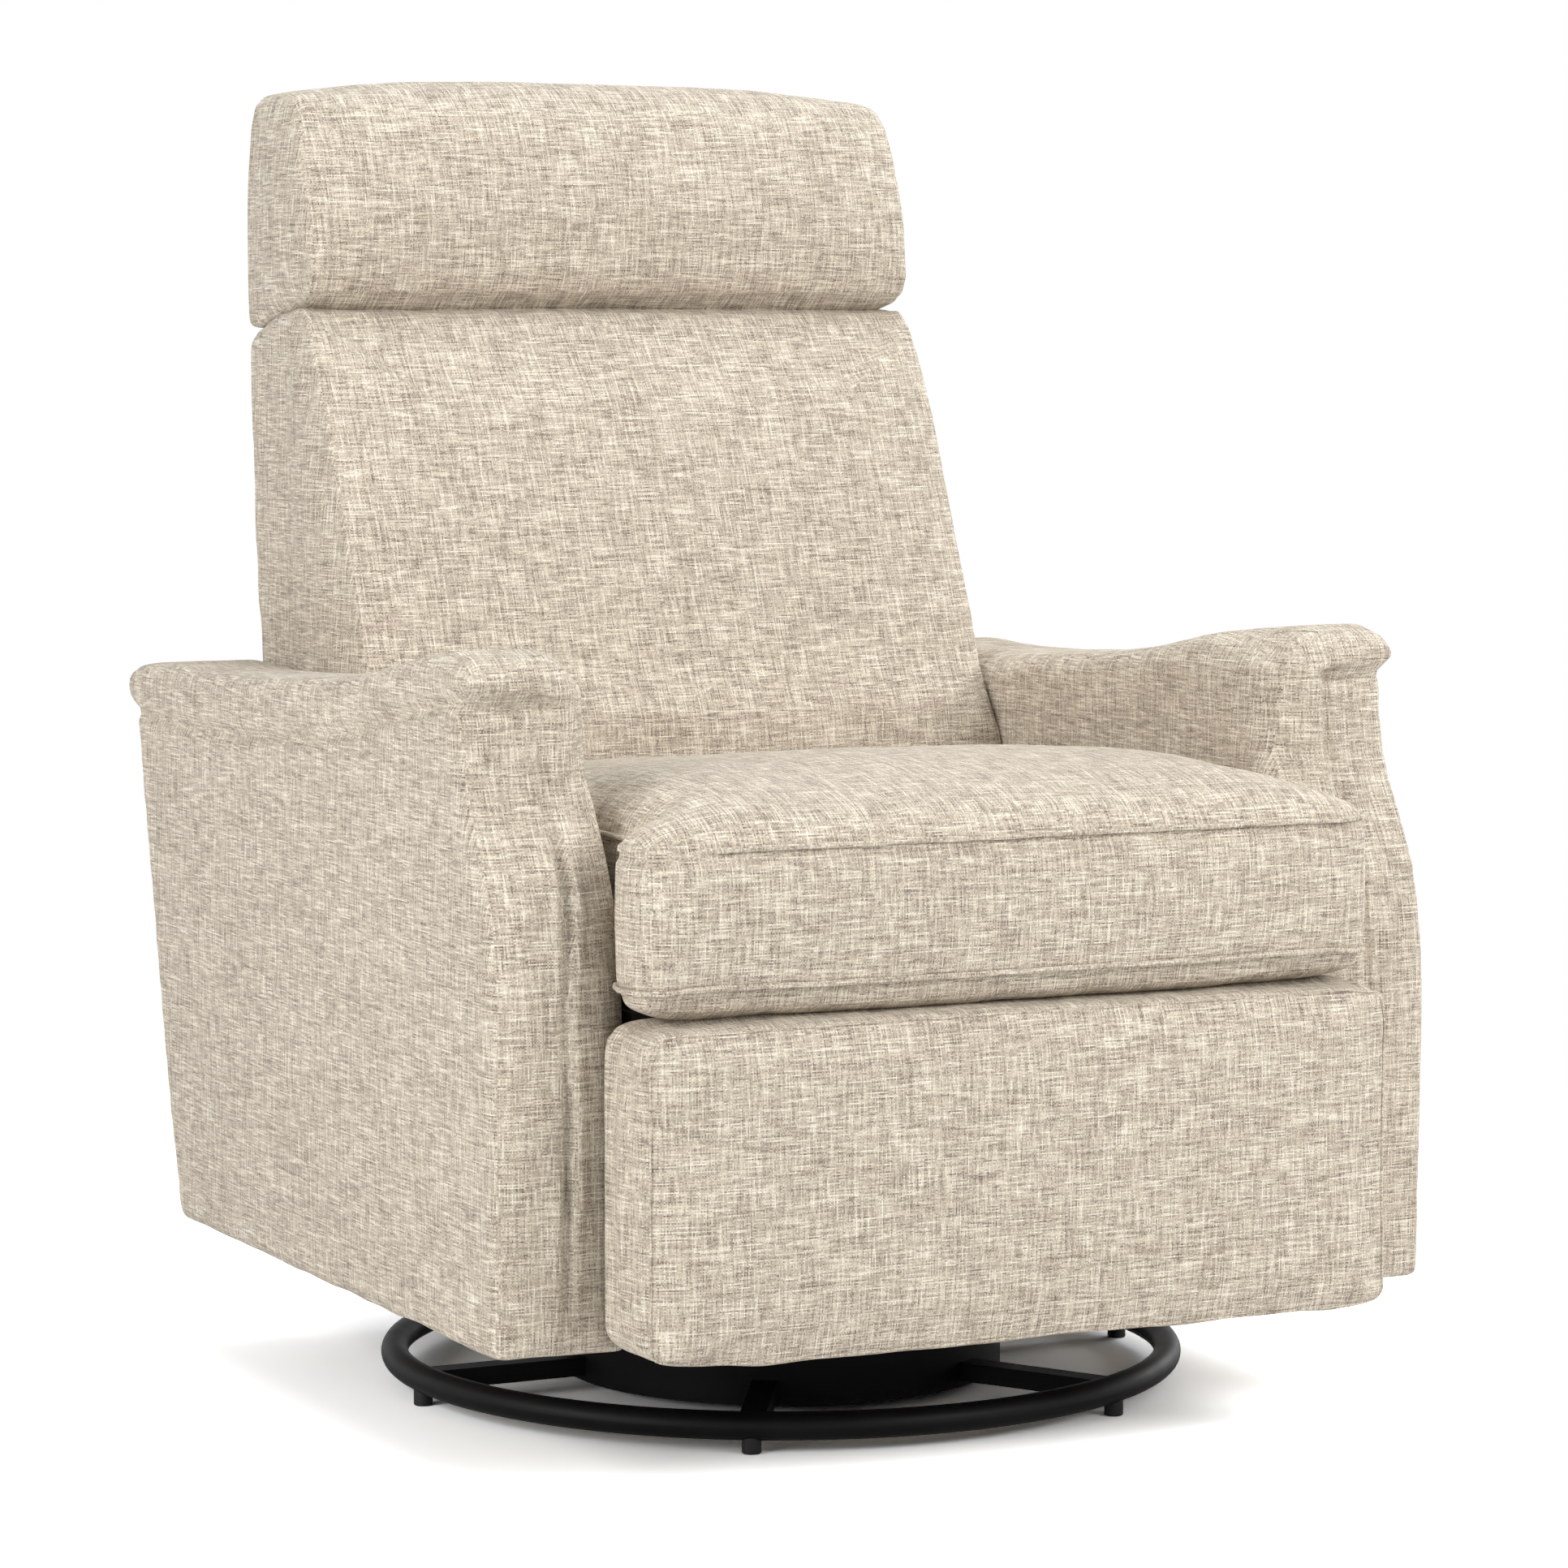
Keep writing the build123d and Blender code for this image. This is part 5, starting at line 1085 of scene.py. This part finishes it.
@dataclass
class Headrest:
    """The tilting headrest: a deep pad with a bowed top, rolled in underneath."""

    half: float = 0.283
    edge_radius: float = 13 * MM
    outline: Line = (
        (0.322, 0.862), (0.303, 0.872), (0.2945, 0.893), (0.300, 0.930), (0.307, 0.957), (0.321, 1.006),
        (0.333, 1.034), (0.352, 1.051), (0.378, 1.0545), (0.425, 1.0535), (0.440, 1.046), (0.444, 1.030),
        (0.4445, 0.900), (0.442, 0.844), (0.432, 0.8425),
    )

    def build(self, cloth: Cloth) -> None:
        """Makes the headrest's cover."""
        cover = Cover("headrest_upholstery", Body.HEADREST, ("headrest_pad",), 0.9, voxel=6.5 * MM)
        cover.slab(Drawn.SIDE, self.outline, -self.half, self.half)
        swelling = (3.0, 5 * MM, lambda points: points[:, 1] > 0.40)
        cover.stuffed(cloth, self.bowed, self.unevenness, swelling)

    def bowed(self, points: Points, normals: Points) -> Points:
        """Rounds the side edges, bows the top, narrows it, and crowns the front."""
        x, y, z = points.T
        front = between(z, self.outline[2:8])
        peak = self.outline[8][1]
        spare, behind = eased(self.half - np.abs(x), y - front, self.edge_radius)
        spare, below = eased(spare, peak - z, self.edge_radius)
        moved = np.stack((np.sign(x) * (self.half - spare), front + behind, peak - below), 1)
        x, y, z = moved.T
        share = np.abs(x) / self.half
        upper = smooth(z, 0.93, 1.045)
        moved[:, 2] -= upper * (2 * MM + 13.5 * MM * share**3.6)
        moved[:, 0] *= 1 - 0.017 * smooth(z, 0.94, 1.05)
        facing = smooth(-normals[:, 1], 0.1, 0.7)
        tall = dome(z, 0.945, 0.085, 2)
        moved[:, 1] -= facing * 7 * MM * np.clip(1 - share**2.5, 0, 1) * (0.4 + 0.6 * tall)
        return moved

    def unevenness(self, points: Points, normals: Points) -> Points:
        """Adds the soft hollows of stuffing."""
        return points + normals * hollows(points, (1.4 * MM, 8, 21.0), (0.6 * MM, 25, 23.0))[:, None]


@dataclass
class HeadrestGusset:
    """The cloth behind the headrest's crease, which closes its rear and ends."""

    name: str = "headrest_gusset"
    half: float = 0.264
    front: float = 0.350
    rear: float = 0.4335
    low: float = 0.824
    high: float = 0.852
    slope: float = 0.18
    corner: float = 9 * MM
    blend_reach: float = 7 * MM
    cuts: int = 11
    thickness: float = 1.2 * MM

    def build(self, cloth: Cloth) -> None:
        """Makes the three strips in one piece."""
        middle = Vector((0, self.rear, (self.low + self.high) / 2))
        work = bmesh.new()
        bmesh.ops.create_cube(work, size=1.0)
        size = (2 * self.half, self.rear - self.front, self.high - self.low)
        bmesh.ops.scale(work, verts=work.verts, vec=size)
        bmesh.ops.translate(work, verts=work.verts, vec=(0, (self.front + self.rear) / 2, middle.z))
        unsewn = [face for face in work.faces if abs(face.normal.z) > 0.9 or face.normal.y < -0.9]
        bmesh.ops.delete(work, geom=unsewn, context="FACES")
        corners = [edge for edge in self.running(work, True) if edge.verts[0].co.y > self.front + MM]
        bmesh.ops.bevel(work, geom=corners, offset=self.corner, segments=5, **BEVEL)
        bmesh.ops.subdivide_edges(work, edges=self.running(work, True), cuts=self.cuts, use_grid_fill=True)
        long = [edge for edge in self.running(work, False) if edge.calc_length() > 0.05]
        bmesh.ops.subdivide_edges(work, edges=long, cuts=self.cuts, use_grid_fill=True)
        for vert in work.verts:
            vert.co.z += (self.rear - vert.co.y) * self.slope
        bmesh.ops.recalc_face_normals(work, faces=work.faces)
        bmesh.ops.solidify(work, geom=work.faces[:] + work.edges[:] + work.verts[:], thickness=self.thickness)
        bmesh.ops.recalc_face_normals(work, faces=work.faces)
        piece = placed(self.name, meshed(self.name, work))
        clothe(piece.data, cloth)
        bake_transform(piece)
        LOG.info("%s: %d faces", self.name, len(piece.data.polygons))

    def running(self, work: bmesh.types.BMesh, upward: bool) -> list:
        """The edges that run from the back up to the headrest, or else the level ones."""
        rises = {edge: abs(edge.verts[0].co.z - edge.verts[1].co.z) for edge in work.edges}
        return [edge for edge, rise in rises.items() if (rise > SAME) == upward]


# ---------------------------------------------------------------- legrest and apron
@dataclass
class Legrest:
    """The fold-out legrest panel, closed below the seat."""

    half: float = 0.3115
    front: float = -0.4415
    rear: float = -0.3655
    bottom: float = 0.0990
    top: float = 0.3480
    upper_corner: float = 0.024
    lower_corner: float = 0.022
    seam_radius: float = 15 * MM
    seam_inset: float = 4 * MM

    def build(self, cloth: Cloth) -> None:
        """Makes the panel's cover and its front seam."""
        cover = Cover("legrest_upholstery", Body.LEGREST, ("legrest_pad",), 0.9)
        half = self.half
        outline = ((-half, self.bottom), (half, self.bottom), (half, self.top), (-half, self.top))
        edges = cover.slab(Drawn.FRONT, outline, self.front, self.rear)

        def endwise(a: Vector, b: Vector) -> bool:
            """Whether an edge runs from front to rear."""
            return abs(a.x - b.x) < SAME and abs(a.z - b.z) < SAME

        edges = cover.rounded(edges, lambda a, b: endwise(a, b) and a.z > self.top - MM, self.upper_corner)
        cover.rounded(edges, lambda a, b: endwise(a, b) and a.z < self.bottom + MM, self.lower_corner)
        swelling = (2.5, 4 * MM, lambda points: points[:, 1] > self.rear - 0.025)
        cover.stuffed(cloth, self.puffed, self.unevenness, swelling)
        x, y = half - self.seam_inset, self.front + self.seam_inset
        lower = cut_corner(-x, self.bottom + self.seam_inset, 0.012, 0.012)
        upper = cut_corner(-x, self.top - self.seam_inset, 0.022, -0.022)
        corners = [Vector((x, y, z)) for x, z in mirrored(lower[::-1] + upper)]
        Welt(1.2 * MM, 0.75 * MM, 6 * MM).along(cover, "legrest_front_welt", corners, True, cloth)

    def puffed(self, points: Points, normals: Points) -> Points:
        """Rounds the front edges and swells the front and the top of the panel."""
        x, y, z = points.T
        side = np.sign(x)
        spare, behind = eased(self.half - np.abs(x), y - self.front, self.seam_radius)
        above, behind = eased(z - self.bottom, behind, 6 * MM)
        below, behind = eased(self.top - self.bottom - above, behind, 10 * MM)
        moved = np.stack((side * (self.half - spare), self.front + behind, self.top - below), 1)
        moved[:, 0] += side * 4 * MM * smooth(y, -0.40, self.rear)
        x, y, z = moved.T
        across = dome(x, 0.0, self.half, 4)
        moved[:, 1] -= smooth(-normals[:, 1], 0.4, 0.9) * 5 * MM * across * dome(z, 0.225, 0.122, 3)
        moved[:, 2] += smooth(normals[:, 2], 0.4, 0.9) * 3 * MM * across
        return moved

    def unevenness(self, points: Points, normals: Points) -> Points:
        """Adds soft hollows, puckers under the top edge and a wavy lower hem."""
        x, y, z = points.T
        soft = hollows(points, (1.2 * MM, 8, 31.0), (0.5 * MM, 26, 33.0))
        puckers = 0.8 * MM * bell(z, self.top - 0.012, 0.016) * ripple(points, (60, 60, 10), 35.0)
        forward = smooth(-y, 0.367, 0.40)
        moved = points + normals * (forward * (soft + puckers))[:, None]
        low = 1 - smooth(z, self.bottom + 0.005, self.bottom + 0.05)
        wave = 2.2 * MM * bell(z, self.bottom, 0.012) * ripple(points, (18, 10, 0), 36.0)
        firm = smooth(np.abs(x), 0.26, 0.30)
        moved[:, 0] += np.sign(x) * 4.5 * MM * firm * smooth(-y, 0.39, 0.43)
        moved[:, 2] += forward * (wave - 5 * MM * (1 - firm) * low) + (1 - forward) * 6 * MM * low
        moved[:, 2] += forward * 4.2 * MM * low * smooth(-x, 0.21, 0.27)
        return moved


@dataclass
class RearApron:
    """The upholstered board across the rear, between the arms and under the back."""

    half: float = 0.2805
    outline: Line = ((0.298, 0.1035), (0.3135, 0.1035), (0.3615, 0.3015), (0.347, 0.2955))

    def build(self, cloth: Cloth) -> None:
        """Makes the board's cover."""
        cover = Cover("rear_apron_upholstery", Body.CARRIAGE, ("rear_apron",), 1.0, voxel=5 * MM)
        edges = cover.slab(Drawn.SIDE, self.outline, -self.half, self.half)
        cover.rounded(edges, lambda a, b: True, 4 * MM)
        cover.cast()
        cover.shape(lambda points, normals: points + normals * hollows(points, (0.5 * MM, 12, 41.0))[:, None])
        cover.dressed(cloth)


# ---------------------------------------------------------------- room
@dataclass(frozen=True)
class Lamp:
    """A soft square lamp aimed at the chair."""

    name: str
    place: Place
    size: float
    watts: float
    tint: Colour = (1.0, 1.0, 1.0)
    aim: Place = (0.0, 0.0, 0.5)

    def hang(self) -> None:
        """Puts the lamp in the room."""
        light = bpy.data.lights.new(self.name, "AREA")
        adjust(light, shape="SQUARE", size=self.size, energy=self.watts, color=self.tint)
        look = Vector(self.aim) - Vector(self.place)
        lamp = placed(self.name, light)
        adjust(lamp, location=self.place, rotation_euler=look.to_track_quat("-Z", "Y").to_euler())


@dataclass
class Room:
    """Floor, background, lamps and camera."""

    floor_half: float = 30.0
    floor_colour: Colour = (0.80, 0.80, 0.80)
    white_from: tuple[float, float] = (0.85, 1.75)
    ambient: float = 0.30
    ambient_tint: Colour = (0.93, 0.965, 1.0)
    camera_place: Place = (-1.8339, -3.7880, 0.8573)
    camera_yaw: float = 25.98
    camera_pitch: float = 5.17
    lens_pixels: float = 6444.0
    frame_pixels: float = 1932.0
    sensor: float = 36.0
    lamps: tuple[Lamp, ...] = (
        Lamp("key", (1.7, -3.1, 2.4), 2.2, 120.0),
        Lamp("fill", (-3.5, -0.9, 1.55), 2.3, 100.0),
        Lamp("top", (0.5, 0.5, 3.6), 2.4, 66.0, (0.94, 0.97, 1.0)),
        Lamp("rim", (3.2, 1.0, 1.3), 2.0, 42.0),
    )

    def build(self) -> None:
        """Makes the room."""
        self.floor()
        self.background()
        for lamp in self.lamps:
            lamp.hang()
        self.camera()
        bpy.context.scene.view_settings.view_transform = "Standard"

    def floor(self) -> None:
        """Lays a pale floor that shows white to the camera and still takes the chair's shadow."""
        work = bmesh.new()
        bmesh.ops.create_grid(work, x_segments=1, y_segments=1, size=self.floor_half)
        floor = placed("floor", meshed("floor", work))
        shader = Shader("pale_floor")
        shader.coat(self.floor_colour, 1.0, 0.0)
        x, y, _ = shader.split(shader.place())
        square = shader.math("ADD", shader.math("MULTIPLY", x, x), shader.math("MULTIPLY", y, y))
        far = shader.spread(shader.math("SQRT", square), *self.white_from)
        seen = shader.add("LightPath", {}, "Is Camera Ray")
        near = shader.add("BsdfDiffuse", {"Color": seen})
        lit = shader.add("AddShader", {0: shader.surface.outputs[0], 1: near})
        white = shader.add("Emission", {})
        both = shader.add("MixShader", {0: shader.math("MULTIPLY", seen, far), 1: lit, 2: white})
        shader.feed(shader.output.inputs["Surface"], both)
        floor.data.materials.append(shader.material)

    def background(self) -> None:
        """Lights the room evenly, and shows white behind the floor."""
        world = bpy.data.worlds.new("studio")
        bpy.context.scene.world = world
        world.use_nodes = True
        nodes = Nodes(world.node_tree)
        direct = nodes.add("LightPath", {}, "Is Camera Ray")
        seen = nodes.add("Math", {0: direct, 1: direct.node.outputs["Is Glossy Ray"]}, operation="MAXIMUM")
        ambient = nodes.add("Background", {"Color": self.ambient_tint, "Strength": self.ambient})
        white = nodes.add("Background", {"Color": grey(1.0)})
        choice = nodes.add("MixShader", {0: seen, 1: ambient, 2: white})
        output = nodes.tree.nodes.new("ShaderNodeOutputWorld")
        nodes.feed(output.inputs["Surface"], choice)

    def camera(self) -> None:
        """Places the camera."""
        yaw, pitch = math.radians(self.camera_yaw), math.radians(self.camera_pitch)
        look = Vector((math.sin(yaw) * math.cos(pitch), math.cos(yaw) * math.cos(pitch), -math.sin(pitch)))
        data = bpy.data.cameras.new("camera")
        adjust(data, sensor_fit="HORIZONTAL", sensor_width=self.sensor, clip_end=200)
        data.lens = self.lens_pixels * self.sensor / self.frame_pixels
        camera = placed("camera", data)
        adjust(camera, location=self.camera_place, rotation_euler=look.to_track_quat("-Z", "Y").to_euler())
        bpy.context.scene.camera = camera


def dress_hardware(frame: dict, looks: dict[str, bpy.types.Material]) -> None:
    """Gives every carried-over node the finish of its slot.

    Args:
        looks: The materials by slot.
    """
    for subpart in frame["record"]["subparts"]:
        node = frame["nodes"][subpart["node"]]
        for slot in node.material_slots:
            slot.material = looks.get(subpart["node"], looks[subpart["material_slot"]])
        LOG.info("%s: %s", subpart["node"], subpart["material_slot"])


def main() -> None:
    """Builds the room and the chair's looks, in order."""
    logging.basicConfig(level=logging.INFO, format="%(name)s %(message)s")
    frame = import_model()
    Room().build()
    looks = finishes()
    dress_hardware(frame, looks)
    cloth = looks["upholstery"]
    SeatCushion().build(cloth)
    for side in HANDS:
        Arm(side).build(cloth)
    Back().build(cloth)
    Headrest().build(cloth)
    HeadrestGusset().build(cloth)
    Legrest().build(cloth)
    RearApron().build(cloth)


if __name__ == "__main__":
    main()
